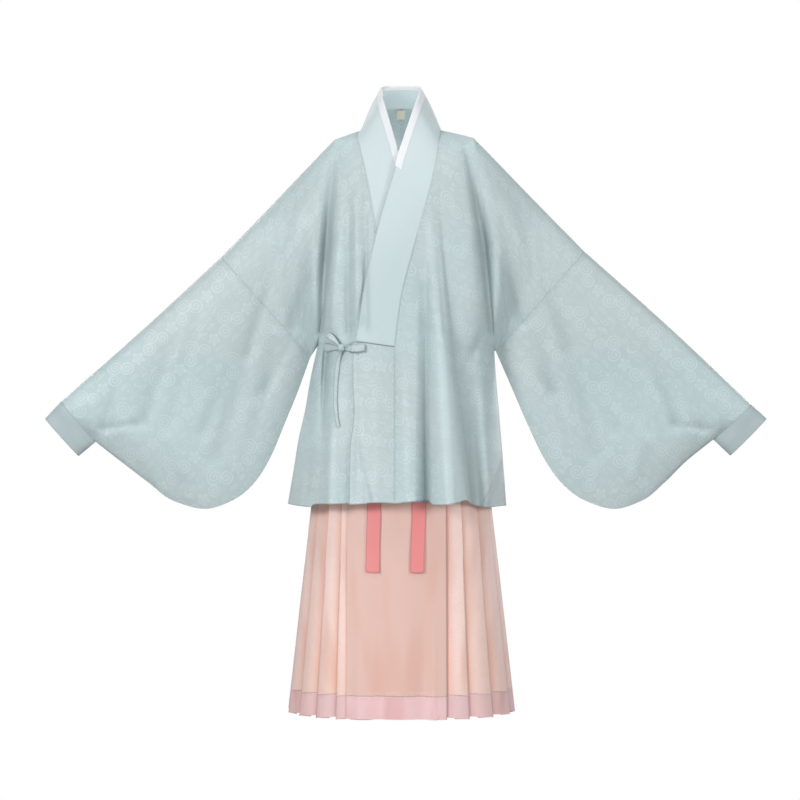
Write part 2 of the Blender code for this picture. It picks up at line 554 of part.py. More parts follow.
def skirt_section(side, z):
    """One half's section as points, from the front panel's free edge round its side to the back panel's free edge."""
    rim = Rim(z)
    g = PLEAT_STEP
    own = DOOR_HALF + side * DOOR_CENTRE
    other = DOOR_HALF - side * DOOR_CENTRE
    outer_front, outer_back = side > 0, side < 0
    start = own - (0 if outer_front else 0.008)
    middle = rim.side
    back_start = rim.whole - BACK_DOOR_HALF
    front_level = 0.0 if outer_front else -1.3 * g
    back_level = 0.0 if outer_back else -1.3 * g
    if not outer_back:
        back_start += 0.008
    even = float(smooth(-0.80, -0.40, z))
    front_edges = [start + (middle - start) * mix(f, e, even) for f, e in zip(PLEATS[side], WAIST_PLEATS)]
    back_edges = [(rim.whole - back_start) + (middle - (rim.whole - back_start)) * mix(f, e, even)
                  for f, e in zip(BACK_PLEATS, WAIST_PLEATS)]
    front_free = -other + (0 if outer_front else 0.012)
    back_free = -BACK_DOOR_HALF + (0 if outer_back else 0.012)
    deep = -3.6 * g
    first = front_level if outer_front else deep
    panel = [(mix(front_free, start - 0.03, f), mix(first, front_level, f)) for f in PANEL_COLUMNS]
    front = panel + pleat_run(start, front_edges, front_level)
    back_start_arc = rim.whole - back_start
    first = back_level if outer_back else deep
    panel = [(mix(back_free, back_start_arc - 0.03, f), mix(first, back_level, f)) for f in PANEL_COLUMNS]
    back = panel + pleat_run(back_start_arc, back_edges, back_level)
    section = front + [(rim.whole - arc, lift) for arc, lift in reversed(back)]
    out = []
    for arc, lift in section:
        x, y = rim.point(side * arc, lift)
        if y < 0 and abs(arc) < own:
            y += float(relief(x, z, PANEL_FOLDS)) * (1 if abs(x - DOOR_CENTRE) < 0.085 else 0)
        out.append((x, y, z))
    return out


def skirt_sheet(side, heights):
    rows = [skirt_section(side, z) for z in heights]
    return [p for row in rows for p in row], grid_faces(len(rows), len(rows[0]))


def round_waist(turn, level, z):
    """A point round the waist; turn counts from the knot in whole turns."""
    rim = Rim(z)
    return (*rim.point(DOOR_CENTRE + turn * 2 * rim.whole, level), z)


def waistband():
    """One turn and an overlap, its inner end a layer deeper."""
    turns = [(j + 3) / WAIST_STATIONS for j in range(WAIST_STATIONS + 4)]
    points = [round_waist(t, -0.001 - 0.0036 * float(smooth(0.30, 0.20, t)), z) for z in WAISTBAND for t in turns]
    return points, grid_faces(2, len(turns))


def tie_wrap():
    inside = [j / WAIST_STATIONS for j in range(1, WAIST_STATIONS)]
    turns = [0.05 / WAIST_STATIONS, *inside, 1 - 0.05 / WAIST_STATIONS]
    level = -0.001 + BAND_WALL / 2 + TIE_WALL / 2 + 0.0008
    points = [round_waist(t, level, z) for z in (-0.334, -0.364) for t in turns]
    return points, grid_faces(2, len(turns))


def strip(centres, widths):
    """A ribbon as a two-edged sheet. centres and widths hold a row per station; a width is a half vector."""
    points = []
    for centre, half in zip(centres, widths):
        centre, half = np.array(centre, float), np.array(half, float)
        points += [tuple(centre - half), tuple(centre), tuple(centre + half)]
    return points, grid_faces(len(centres), 3)


def door_y(x, z):
    """The front panel's depth, straight between the skirt's rows as its sheet is."""
    for high, low in zip(SKIRT_ROWS, SKIRT_ROWS[1:]):
        if z >= low:
            share = min(max((high - z) / (high - low), 0), 1)
            return mix(Rim(high).point(x)[1], Rim(low).point(x)[1], share)


def tail(side):
    top_x = DOOR_CENTRE + side * 0.0085
    mid_x, low_x = (-0.0565, -0.0600) if side < 0 else (0.0385, 0.0340)
    points = []
    heights = (-0.3662, -0.3855, -0.43, -0.50, -0.57, -0.63, -0.70, -0.78, -0.85, -0.92, -0.941)
    for z in heights:
        f = (-0.3662 - z) / 0.5748
        x = mix(top_x, mid_x, float(smooth(0, 0.7, f))) + (low_x - mid_x) * float(smooth(0.7, 1, f))
        lift = mix(0.0016, KNOT_LIFT, float(smooth(0.10, 0, f)))
        half = mix(0.0060, 0.0148, float(smooth(0, 0.3, f)))
        points += [(x + across, door_y(x + across, z) - lift, z) for across in (-half, 0, half)]
    return points, grid_faces(len(heights), 3)


def block(centre, half, power=2.6, rings=7, around=10):
    """A rounded knot."""
    points, faces = [], []
    for i in range(1, rings):
        polar = np.pi * i / rings
        for j in range(around):
            turn = 2 * np.pi * j / around
            p = np.array((np.sin(polar) * np.cos(turn), np.sin(polar) * np.sin(turn), np.cos(polar)))
            p = np.sign(p) * np.abs(p) ** (2 / power)
            points.append(tuple(np.array(centre) + p * np.array(half)))
    points += [tuple(np.array(centre) + (0, 0, half[2])), tuple(np.array(centre) - (0, 0, half[2]))]
    top, low = len(points) - 2, len(points) - 1
    for i in range(rings - 2):
        for j in range(around):
            k = (j + 1) % around
            faces.append((i * around + j, (i + 1) * around + j, (i + 1) * around + k, i * around + k))
    for j in range(around):
        k = (j + 1) % around
        faces += [(top, j, k), (low, (rings - 2) * around + k, (rings - 2) * around + j)]
    return points, faces


def bow_ground(x, z):
    """The outermost cloth under the bow."""
    return front_y(1 if x > -0.105 else -1, x, z, 1)


KNOT = (-0.1265, -0.466)


def laid(table):
    """A ribbon on the coat. Rows: x, z, lift off the cloth's middle, half width along x and z."""
    centres, widths = [], []
    for x, z, lift, half_x, half_z in table:
        ground = min(bow_ground(x, z), bow_ground(x - half_x, z - half_z), bow_ground(x + half_x, z + half_z))
        centres.append((x, ground - lift, z))
        widths.append((half_x, 0, half_z))
    return strip(centres, widths)


TIES = {
    "ao_tie_side": ((-0.1640, -0.4640, 0.0042, 0, 0.0085), (-0.156, -0.4645, 0.0040, 0, 0.0085),
                    (-0.146, -0.4655, 0.0040, 0, 0.0062), (-0.1345, -0.4662, 0.0102, 0, 0.0045)),
    "ao_tie_front": ((-0.0935, -0.4602, 0.0018, 0.002, 0.0066), (-0.1020, -0.4610, 0.0021, 0.002, 0.0055),
                     (-0.1110, -0.4618, 0.0078, 0.001, 0.0038), (-0.1183, -0.4624, 0.0054, 0, 0.0026)),
    "ao_bow_loop_right": ((-0.1186, -0.4692, 0.0070, 0, 0.0032), (-0.110, -0.4678, 0.0158, 0, 0.0066),
                          (-0.095, -0.4670, 0.0098, 0, 0.0084), (-0.0815, -0.4660, 0.0092, 0, 0.0080),
                          (-0.0775, -0.4655, 0.0072, 0, 0.0078), (-0.0815, -0.4655, 0.0050, 0, 0.0078),
                          (-0.095, -0.4665, 0.0050, 0, 0.0076), (-0.1085, -0.4675, 0.0128, 0, 0.0050)),
    "ao_bow_loop_left": ((-0.1322, -0.4598, 0.0096, 0.0014, 0.0018), (-0.1425, -0.4480, 0.0105, 0.0032, 0.0040),
                         (-0.1530, -0.4400, 0.0108, 0.0038, 0.0050), (-0.1580, -0.4375, 0.0080, 0.0038, 0.0050),
                         (-0.1545, -0.4405, 0.0052, 0.0038, 0.0050), (-0.1440, -0.4500, 0.0040, 0.0032, 0.0040)),
    "ao_bow_tail": ((-0.1275, -0.4742, 0.0083, 0.0036, 0), (-0.1310, -0.4820, 0.0045, 0.0042, 0),
                    (-0.1345, -0.500, 0.0021, 0.0045, 0), (-0.1385, -0.540, 0.0021, 0.0048, 0),
                    (-0.1395, -0.575, 0.0022, 0.0045, 0), (-0.1375, -0.607, 0.0022, 0.0042, 0),
                    (-0.1330, -0.634, 0.0022, 0.0042, 0)),
}


def bow_knot():
    return block((KNOT[0], bow_ground(*KNOT) - 0.0091, KNOT[1]), (0.0078, 0.0062, 0.0078))


def neck_label():
    points = []
    for z in (0.063, 0.053, 0.043):
        for x in (-0.0098, 0.0, 0.0092):
            y = back_point(1, 0, (0.067 - z) / (0.067 - ARMPIT[1]), 0)[1] - 0.0035 - 0.12 * x * x
            points.append((x, float(y), z))
    return points, grid_faces(3, 3)


def material(name):
    found = bpy.data.materials.new(name)
    found.use_nodes = True
    shader = found.node_tree.nodes["Principled BSDF"]
    shader.inputs["Base Color"].default_value = (*COLOURS[name.split("_")[0]], 1)
    shader.inputs["Roughness"].default_value = 0.7
    return found


def build(name, shape, wall, colour, home):
    """A sheet given its wall, or a closed form as it is when wall is nothing."""
    points, faces = shape
    mesh = bpy.data.meshes.new(name)
    mesh.from_pydata([tuple(float(c) for c in p) for p in points], [], [tuple(f) for f in faces])
    mesh.update()
    piece = bpy.data.objects.new(name, mesh)
    home.objects.link(piece)
    mesh.materials.append(material(f"{colour}_{name}"))
    if wall:
        shell = piece.modifiers.new("Wall", "SOLIDIFY")
        shell.thickness, shell.offset = wall, 0.0
        shell.use_even_offset = False
    return piece


def main():
    for old in list(bpy.data.objects):
        bpy.data.objects.remove(old)
    home = bpy.data.collections.new("hanfu")
    bpy.context.scene.collection.children.link(home)
    words = {-1: "right", 1: "left"}

    stations, collar = collar_grid()
    guard = guard_grid(stations, collar)
    build("ao_collar", (collar.reshape(-1, 3), split_faces(*collar.shape[:2])), BAND_WALL, "plain", home)
    build("ao_collar_guard", (guard.reshape(-1, 3), split_faces(*guard.shape[:2], (0, 1))), GUARD_WALL, "white", home)
    for side, word in words.items():
        build(f"ao_body_{word}", body(side), COAT_WALL, "ao", home)
        build(f"ao_overlap_{'outer' if side > 0 else 'inner'}", overlap(side), COAT_WALL, "ao", home)
        build(f"ao_sleeve_{word}", lower_sleeve(side), COAT_WALL, "ao", home)
        build(f"ao_cuff_{word}", cuff(side), BAND_WALL, "plain", home)
        build(f"skirt_half_{word}", skirt_sheet(side, SKIRT_ROWS), SKIRT_WALL, "skirt", home)
        band_top = SKIRT_HEM + SKIRT_BAND
        build(f"skirt_band_{word}", skirt_sheet(side, (band_top, SKIRT_HEM)), SKIRT_WALL, "band", home)
        build(f"skirt_tail_{word}", tail(side), TIE_WALL, "tie", home)
    build("ao_side_gore", gore(), COAT_WALL, "ao", home)
    build("ao_neck_label", neck_label(), GUARD_WALL, "label", home)
    build("skirt_waistband", waistband(), BAND_WALL, "tie", home)
    build("skirt_tie_wrap", tie_wrap(), TIE_WALL, "tie", home)
    knot_y = Rim(-0.352).point(DOOR_CENTRE)[1] - KNOT_LIFT
    build("skirt_tie_knot", block((DOOR_CENTRE, knot_y, -0.352), (0.020, 0.0065, 0.0135)), 0, "tie", home)
    build("ao_bow_knot", bow_knot(), 0, "ao", home)
    for name, table in TIES.items():
        build(name, laid(table), TIE_WALL, "ao", home)


main()
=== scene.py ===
"""Hanfu set, worn hollow: a damask coat with pipa sleeves over a pleated horse-face skirt.

Metres, +X to the viewer's right (the wearer's left), +Y to the wearer's back, +Z up, origin at the base
of the neck.
"""

import bmesh
import bpy
import numpy as np
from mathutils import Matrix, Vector


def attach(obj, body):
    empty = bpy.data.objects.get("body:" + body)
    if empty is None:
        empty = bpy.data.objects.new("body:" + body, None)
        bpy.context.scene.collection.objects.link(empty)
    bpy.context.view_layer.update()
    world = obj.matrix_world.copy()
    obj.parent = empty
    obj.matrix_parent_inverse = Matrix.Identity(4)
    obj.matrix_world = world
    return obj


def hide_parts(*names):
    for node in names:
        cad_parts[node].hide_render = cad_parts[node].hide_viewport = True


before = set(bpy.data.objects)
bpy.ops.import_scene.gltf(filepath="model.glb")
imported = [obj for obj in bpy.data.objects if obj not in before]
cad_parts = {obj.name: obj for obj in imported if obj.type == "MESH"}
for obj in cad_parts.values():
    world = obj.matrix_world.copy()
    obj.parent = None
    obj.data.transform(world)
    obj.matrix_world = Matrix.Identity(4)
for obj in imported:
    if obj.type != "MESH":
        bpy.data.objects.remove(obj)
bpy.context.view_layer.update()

# Cloth thicknesses
COAT_CLOTH = 0.0007
BAND_CLOTH = 0.0018
GUARD_CLOTH = 0.0006
SKIRT_CLOTH = 0.0006
TIE_CLOTH = 0.0010
SEAM_GAP = 0.0003
FAR = 0.3               # stands for any way to a seam that is too long to matter
LAYER = 0.0035          # the coat's two fronts stand this far to each side of their mean
ROUND = 6.2832          # a full turn

# Heights
COLLAR_END = -0.464
GUARD_END = 0.295       # share of the collar's fall at which the white strip ends
COAT_HEM = -0.803
WAISTBAND = (-0.315, -0.385)
SKIRT_TOP = -0.3855
SKIRT_HEM = -1.246
SKIRT_BAND = 0.048
SKIRT_JOIN = -1.1975    # where the wide cloth ends, just short of the band
WAIST_KNOT = -0.352

# Skirt cut
DOOR_HALF = 0.1073      # half the flat front panel
DOOR_CENTRE = -0.0097
BACK_DOOR_HALF = 0.110
PLEAT_STEP = 0.0022     # from one layer of a pleat to the next
PLEAT_TUCK = 0.60       # the hidden depth of a pleat over its visible width
PLEAT_CROWN = 0.0045    # how far a pleat's face swells at the hem
KNOT_LIFT = 0.0091      # the waist knot's centre over the waistband's middle


class Curve:
    """A smooth line through a table's rows, its first column the parameter. It never passes a row's value."""

    def __init__(self, *rows):
        rows = np.array(sorted(rows), float)
        self.at, self.value = rows[:, 0], rows[:, 1:]
        step = np.diff(self.at)[:, None]
        rise = np.diff(self.value, axis=0) / step
        self.slope = np.zeros_like(self.value)
        self.slope[0], self.slope[-1] = rise[0], rise[-1]
        one, two = 2 * step[1:] + step[:-1], step[1:] + 2 * step[:-1]
        same = rise[:-1] * rise[1:] > 0
        left, right = np.where(same, rise[:-1], 1), np.where(same, rise[1:], 1)
        self.slope[1:-1] = np.where(same, (one + two) / (one / left + two / right), 0)

    def __call__(self, at):
        at = np.clip(np.asarray(at, float), self.at[0], self.at[-1])
        i = np.clip(np.searchsorted(self.at, at) - 1, 0, len(self.at) - 2)
        step = self.at[i + 1] - self.at[i]
        t = ((at - self.at[i]) / step)[..., None]
        step = step[..., None]
        out = (
            (1 + 2 * t) * (1 - t) ** 2 * self.value[i] + t * (1 - t) ** 2 * step * self.slope[i]
            + t * t * (3 - 2 * t) * self.value[i + 1] + t * t * (t - 1) * step * self.slope[i + 1]
        )
        return out[..., 0] if out.shape[-1] == 1 else out


def smooth(low, high, value):
    t = np.clip((np.asarray(value, float) - low) / (high - low), 0, 1)
    return t * t * (3 - 2 * t)


def mix(a, b, t):
    return a + (b - a) * t


def finer(shares, times):
    """The same shares with each step cut into equal parts."""
    shares = np.asarray(shares, float)
    parts = [np.linspace(a, b, times, endpoint=False) for a, b in zip(shares, shares[1:])]
    return np.concatenate(parts + [shares[-1:]])


# The coat's body, as depths from a middle sheet, by the distance below the shoulder line.
MIDDLE = Curve((-0.46, 0.0), (-0.25, 0.006), (-0.1, 0.012), (0.07, 0.018))
FRONT_DEPTH = Curve(
    (0, 0), (0.004, 0.012), (0.012, 0.027), (0.03, 0.049), (0.06, 0.07), (0.11, 0.094), (0.2, 0.114),
    (0.3, 0.124), (0.4, 0.127), (0.47, 0.129), (0.56, 0.137), (0.66, 0.151), (0.82, 0.182),
)
BACK_DEPTH = Curve(
    (0, 0), (0.004, 0.014), (0.012, 0.03), (0.03, 0.052), (0.06, 0.074), (0.11, 0.095), (0.2, 0.106),
    (0.3, 0.108), (0.4, 0.109), (0.47, 0.115), (0.56, 0.13), (0.66, 0.149), (0.82, 0.18),
)
CLOSING = Curve((-0.02, 0.3), (-0.23, 0.45), (-0.36, 0.62), (-0.43, 0.85), (-0.463, 1.0))
BACK_NECK = Curve(
    (0, 0, 0.105, 0.067), (0.25, 0.03, 0.1, 0.064), (0.5, 0.056, 0.084, 0.053),
    (0.75, 0.077, 0.056, 0.034), (1, 0.0875, 0.018, 0.009),
)
BACK_START = Curve((0, 0.09), (0.25, 0.078), (0.5, 0.047), (0.75, 0.018), (1, 0.0))
BACK_SPREAD = Curve((0, 0), (0.25, 0.1), (0.5, 0.2), (0.75, 0.29), (1, 0.37))

# Each side's outline. Rows: (height, x) unless said.
SEAM = {
    -1: Curve(
        (0.008, -0.0885), (-0.008, -0.0945), (-0.037, -0.0885), (-0.0745, -0.0795), (-0.112, -0.0716),
        (-0.152, -0.0641), (-0.215, -0.0533), (-0.287, -0.0428), (-0.37, -0.025), (COLLAR_END, -0.005),
    ),
    1: Curve(
        (0.01, 0.0859), (-0.0128, 0.0834), (-0.045, 0.0785), (-0.1067, 0.0663), (-0.1935, 0.0437),
        (-0.2752, 0.0213), (-0.3625, 0.0), (COLLAR_END, -0.0134),
    ),
}
TIP = {-1: (-0.1435, -0.015), 1: (0.1565, -0.0105)}
ARMHOLE = {
    -1: Curve((-0.015, -0.1435), (-0.143, -0.1476), (-0.273, -0.154), (-0.36, -0.165), (-0.458, -0.18)),
    1: Curve((-0.0105, 0.1565), (-0.1215, 0.171), (-0.23, 0.182), (-0.36, 0.193), (-0.4687, 0.202)),
}
ARMPIT = {-1: -0.458, 1: -0.4687}
SIDE = {
    -1: Curve(
        (-0.458, -0.18), (-0.53, -0.196), (-0.6, -0.208), (-0.66, -0.2215), (-0.73, -0.233),
        (-0.801, -0.245),
    ),
    1: Curve(
        (-0.4687, 0.202), (-0.53, 0.206), (-0.6, 0.212), (-0.66, 0.217), (-0.73, 0.2225),
        (-0.806, 0.228),
    ),
}
HEM = {
    -1: Curve(
        (-0.245, -0.801), (-0.216, -0.803), (-0.192, -0.804), (-0.184, -0.798), (-0.15, -0.7965),
        (-0.115, -0.795), (0.0, -0.792),
    ),
    1: Curve(
        (-0.0134, -0.7945), (0.05, -0.789), (0.06, -0.79), (0.067, -0.797), (0.085, -0.797),
        (0.115, -0.793), (0.136, -0.788), (0.152, -0.799), (0.1975, -0.806), (0.228, -0.806),
    ),
}
HEM_END = {-1: -0.801, 1: -0.806}
GORE = Curve((-0.697, 0.219), (-0.803, 0.170))
GORE_TOP = -0.697

# Folds. Rows: x, z, depth at one end, then at the other, and the width, or the widths to the left and right.
# A minus depth is a ridge, and a row that starts where the last one ends carries it on.
FRONT_FOLDS = (
    (-0.135, -0.05, 0.004, -0.16, -0.25, 0.024, 0.02),
    (-0.16, -0.25, 0.024, -0.178, -0.43, 0.006, 0.018),
    (-0.077, -0.14, 0.002, -0.077, -0.43, 0.006, 0.014),
    (-0.11, -0.14, 0.002, -0.111, -0.43, 0.008, 0.014),
    (-0.094, -0.145, -0.006, -0.094, -0.4, -0.003, 0.016),
    (-0.163, -0.48, 0.01, -0.172, -0.66, 0.004, 0.014),
    (-0.14, -0.6, -0.002, -0.145, -0.81, -0.008, 0.022),
    (-0.2, -0.6, -0.002, -0.212, -0.81, -0.006, 0.018), (0.15, -0.05, 0.004, 0.182, -0.25, 0.026, 0.02),
    (0.182, -0.25, 0.026, 0.198, -0.44, 0.006, 0.018), (0.051, -0.21, 0.001, 0.051, -0.42, 0.006, 0.014),
    (0.051, -0.42, 0.006, 0.052, -0.81, 0.014, 0.015), (0.083, -0.35, 0.0, 0.092, -0.56, -0.014, 0.024),
    (0.092, -0.56, -0.014, 0.104, -0.81, -0.026, 0.026), (0.15, -0.48, 0.003, 0.165, -0.81, 0.01, 0.016),
)
FRONT_CREASES = (
    (-0.14, -0.03, 0.001, -0.156, -0.15, 0.007, 0.012, 0.006),
    (-0.156, -0.15, 0.007, -0.164, -0.27, 0.011, 0.011, 0.006),
    (-0.164, -0.27, 0.011, -0.17, -0.43, 0.009, 0.011, 0.007),
    (-0.13, -0.07, -0.001, -0.144, -0.2, -0.006, 0.006, 0.013),
    (-0.144, -0.2, -0.006, -0.149, -0.42, -0.005, 0.006, 0.014),
    (-0.1125, -0.14, 0.001, -0.115, -0.34, 0.007, 0.008, 0.012),
    (-0.115, -0.34, 0.007, -0.112, -0.455, 0.002, 0.008, 0.012),
    (-0.0745, -0.165, 0.003, -0.0745, -0.42, 0.007, 0.01, 0.004),
    (-0.118, -0.16, -0.003, -0.088, -0.147, -0.002, 0.006),
    (0.138, -0.03, 0.001, 0.158, -0.14, 0.008, 0.006, 0.01),
    (0.158, -0.14, 0.008, 0.178, -0.27, 0.01, 0.006, 0.011),
    (0.178, -0.27, 0.01, 0.19, -0.43, 0.009, 0.007, 0.012),
    (0.13, -0.05, -0.0005, 0.16, -0.23, -0.004, 0.012, 0.007),
    (0.062, -0.13, -0.001, 0.072, -0.3, -0.006, 0.014, 0.009),
    (0.072, -0.3, -0.006, 0.085, -0.45, -0.008, 0.016, 0.009),
    (0.085, -0.45, -0.008, 0.11, -0.8, -0.007, 0.02, 0.012),
    (0.082, -0.14, 0.001, 0.098, -0.32, 0.009, 0.006, 0.022),
    (0.098, -0.32, 0.009, 0.118, -0.52, 0.014, 0.006, 0.026),
    (0.118, -0.52, 0.014, 0.153, -0.8, 0.018, 0.006, 0.026),
    (0.098, -0.45, -0.003, 0.133, -0.8, -0.016, 0.014, 0.007),
    (0.051, -0.26, 0.001, 0.052, -0.42, 0.008, 0.013, 0.006),
    (0.052, -0.42, 0.008, 0.054, -0.8, 0.016, 0.014, 0.006),
    (0.172, -0.5, -0.001, 0.188, -0.8, -0.006, 0.014), (0.175, -0.44, 0.004, 0.13, -0.52, 0.0003, 0.01),
    (0.0, -0.48, 0.001, 0.001, -0.62, 0.0045, 0.012, 0.009),
    (0.001, -0.62, 0.0045, 0.006, -0.8, 0.002, 0.012, 0.01),
    (-0.045, -0.5, -0.001, -0.05, -0.79, -0.003, 0.016),
    (0.026, -0.56, -0.001, 0.028, -0.79, -0.004, 0.012),
    (-0.164, -0.47, 0.014, -0.168, -0.64, 0.004, 0.005, 0.012),
    (-0.145, -0.48, -0.002, -0.152, -0.8, -0.005, 0.009, 0.02),
    (-0.128, -0.475, 0.0025, -0.138, -0.56, 0.0004, 0.008),
    (-0.09, -0.47, 0.0022, -0.068, -0.56, 0.0003, 0.009),
    (-0.1, -0.65, 0.0005, -0.068, -0.79, 0.005, 0.008),
    (-0.088, -0.56, 0.0003, -0.094, -0.78, 0.0035, 0.007),
    (-0.19, -0.52, 0.002, -0.2, -0.78, 0.004, 0.012, 0.008),
    (-0.168, -0.44, 0.004, -0.136, -0.52, 0.0003, 0.01),
)
FRONT_RELIEF = FRONT_FOLDS + FRONT_CREASES
BACK_FOLDS = (
    (-0.06, -0.3, 0.001, -0.09, -0.82, 0.012, 0.02), (0.07, -0.26, 0.001, 0.105, -0.82, 0.012, 0.022),
    (-0.15, -0.43, 0.004, -0.165, -0.82, 0.01, 0.018), (0.16, -0.43, 0.004, 0.172, -0.82, 0.009, 0.018),
    (-0.11, -0.1, 0.002, -0.165, -0.43, 0.016, 0.018), (0.12, -0.1, 0.002, 0.185, -0.43, 0.016, 0.018),
    (-0.135, -0.06, -0.0005, -0.15, -0.3, -0.0035, 0.012),
    (0.142, -0.06, -0.0005, 0.165, -0.3, -0.0035, 0.012),
    (-0.085, -0.12, 0.0003, -0.105, -0.42, 0.0035, 0.013),
    (0.092, -0.12, 0.0003, 0.112, -0.4, 0.003, 0.012),
    (-0.03, -0.42, -0.0005, -0.034, -0.8, -0.005, 0.018),
    (0.04, -0.46, -0.0005, 0.046, -0.8, -0.005, 0.017),
    (-0.12, -0.52, -0.0005, -0.13, -0.8, -0.006, 0.02),
    (0.135, -0.5, -0.0005, 0.142, -0.8, -0.006, 0.018),
    (-0.195, -0.54, -0.0005, -0.205, -0.8, -0.0045, 0.014),
    (0.196, -0.56, -0.0005, 0.202, -0.8, -0.004, 0.013),
    (-0.175, -0.44, 0.0025, -0.14, -0.5, 0.0003, 0.01),
    (0.185, -0.45, 0.0025, 0.15, -0.51, 0.0003, 0.01),
)
SLEEVE_FOLDS = {
    -1: (
        (-0.155, -0.04, 0.004, -0.235, -0.42, 0.012, 0.016),
        (-0.175, -0.06, 0.002, -0.3, -0.56, 0.01, 0.02), (-0.26, -0.2, 0.002, -0.4, -0.7, 0.01, 0.022),
        (-0.19, -0.06, -0.002, -0.265, -0.43, -0.008, 0.018),
        (-0.48, -0.42, 0.002, -0.56, -0.62, 0.008, 0.02),
    ),
    1: (
        (0.17, -0.04, 0.004, 0.255, -0.41, 0.012, 0.016), (0.19, -0.06, 0.002, 0.32, -0.56, 0.01, 0.02),
        (0.28, -0.19, 0.002, 0.42, -0.69, 0.01, 0.022),
        (0.205, -0.06, -0.002, 0.285, -0.42, -0.008, 0.018),
        (0.5, -0.41, 0.002, 0.59, -0.62, 0.008, 0.02),
    ),
}
SLEEVE_CREASES = {
    -1: (
        (-0.165, -0.05, 0.0005, -0.205, -0.33, 0.0035, 0.01),
        (-0.215, -0.11, 0.0004, -0.33, -0.48, 0.003, 0.012),
        (-0.3, -0.48, -0.001, -0.36, -0.72, -0.0035, 0.016),
        (-0.42, -0.33, 0.0004, -0.5, -0.64, 0.003, 0.014),
        (-0.6, -0.5, 0.0006, -0.64, -0.64, 0.0035, 0.011),
        (-0.655, -0.54, -0.0004, -0.668, -0.64, -0.0025, 0.01),
        (-0.236, -0.45, 0.003, -0.292, -0.56, 0.006, 0.014, 0.01),
        (-0.292, -0.56, 0.006, -0.32, -0.67, 0.001, 0.014, 0.01),
        (-0.365, -0.5, 0.001, -0.425, -0.65, 0.005, 0.016, 0.011),
        (-0.575, -0.63, 0.003, -0.65, -0.64, 0.001, 0.008),
        (-0.52, -0.56, -0.0005, -0.47, -0.74, -0.003, 0.016),
    ),
    1: (
        (0.18, -0.05, 0.0005, 0.222, -0.33, 0.0035, 0.01),
        (0.232, -0.1, 0.0004, 0.35, -0.47, 0.003, 0.012),
        (0.32, -0.47, -0.001, 0.385, -0.72, -0.0035, 0.016),
        (0.44, -0.32, 0.0004, 0.53, -0.64, 0.003, 0.014),
        (0.62, -0.5, 0.0006, 0.655, -0.64, 0.0035, 0.011),
        (0.672, -0.545, -0.0004, 0.688, -0.64, -0.0025, 0.01),
        (0.255, -0.45, 0.003, 0.314, -0.556, 0.006, 0.01, 0.014),
        (0.314, -0.556, 0.006, 0.345, -0.67, 0.001, 0.01, 0.014),
        (0.395, -0.5, 0.001, 0.455, -0.645, 0.005, 0.011, 0.016),
        (0.59, -0.632, 0.003, 0.668, -0.64, 0.001, 0.008),
        (0.545, -0.56, -0.0005, 0.5, -0.74, -0.003, 0.016),
    ),
}

# Sleeve outline in front view. Rows: share along the sleeve, x, z.
SLEEVE_TOP = {
    -1: Curve((0, -0.39, -0.267), (0.5, -0.566, -0.43), (1, -0.737, -0.58)),
    1: Curve((0, 0.398, -0.255), (0.5, 0.581, -0.419), (1, 0.759, -0.587)),
}
SLEEVE_BOTTOM = {
    -1: Curve(
        (0, -0.197, -0.484), (0.12, -0.222, -0.553), (0.26, -0.2515, -0.6255), (0.38, -0.2885, -0.711),
        (0.47, -0.321, -0.7595), (0.55, -0.3645, -0.794), (0.635, -0.425, -0.813),
        (0.73, -0.497, -0.794), (0.8, -0.547, -0.7565), (0.9, -0.606, -0.7115), (1, -0.663, -0.667),
    ),
    1: Curve(
        (0, 0.206, -0.4715), (0.12, 0.243, -0.556), (0.26, 0.273, -0.6255), (0.38, 0.315, -0.711),
        (0.47, 0.351, -0.7595), (0.55, 0.3975, -0.794), (0.635, 0.462, -0.813), (0.73, 0.525, -0.794),
        (0.8, 0.571, -0.7565), (0.9, 0.6165, -0.7115), (1, 0.678, -0.662),
    ),
}
CUFF = {
    -1: ((-0.737, -0.58), (-0.663, -0.667), (-0.772, -0.618), (-0.7, -0.698)),
    1: ((0.759, -0.587), (0.678, -0.662), (0.793, -0.618), (0.715, -0.697)),
}
FULLNESS = Curve(
    (0, 0), (0.025, 0.36), (0.07, 0.6), (0.15, 0.84), (0.26, 0.98), (0.39, 1.0), (0.53, 0.88),
    (0.68, 0.66), (0.82, 0.42), (0.93, 0.21), (1, 0),
)
SLEEVE_HALF = Curve((0, 0.040), (0.35, 0.034), (0.7, 0.030), (1, 0.021))

# The collar's leading edge. Rows: share of the front's height from the neck point, x, z.
# Then its neck part, with y.
LEADING = {
    1: Curve(
        (0, 0.0378, 0.078), (0.045, 0.0295, 0.056), (0.107, 0.0148, 0.012), (0.172, 0.0048, -0.018),
        (0.236, -0.0052, -0.048), (0.298, -0.0128, -0.08), (0.425, -0.039, -0.169),
        (0.595, -0.0605, -0.254), (0.785, -0.0806, -0.347), (0.895, -0.0897, -0.404),
        (1, -0.0968, -0.452),
    ),
    -1: Curve(
        (0, -0.0412, 0.078), (0.034, -0.0348, 0.056), (0.0955, -0.0231, 0.015), (0.175, -0.01, -0.032),
        (0.254, 0.0045, -0.083), (0.339, 0.018, -0.13), (0.4725, 0.0305, -0.199), (0.625, 0.042, -0.271),
        (0.801, 0.059, -0.35), (1, 0.079, -0.444),
    ),
}
LEADING_Y = Curve(
    (0, -0.016), (0.045, -0.03), (0.107, -0.043), (0.172, -0.05), (0.236, -0.053), (0.3, -0.066),
)
BACK_LEADING = Curve(
    (0, 0, 0.04, 0.108), (0.25, 0.019, 0.037, 0.1074), (0.5, 0.034, 0.026, 0.105),
    (0.75, 0.042, 0.007, 0.099), (1, 0.0385, -0.016, 0.078),
)
OVERLAP_EDGE = Curve(
    (-0.4525, -0.0972), (-0.493, -0.1027), (-0.555, -0.102), (-0.592, -0.0995), (-0.63, -0.1015),
    (-0.675, -0.108), (-0.795, -0.1095),
)

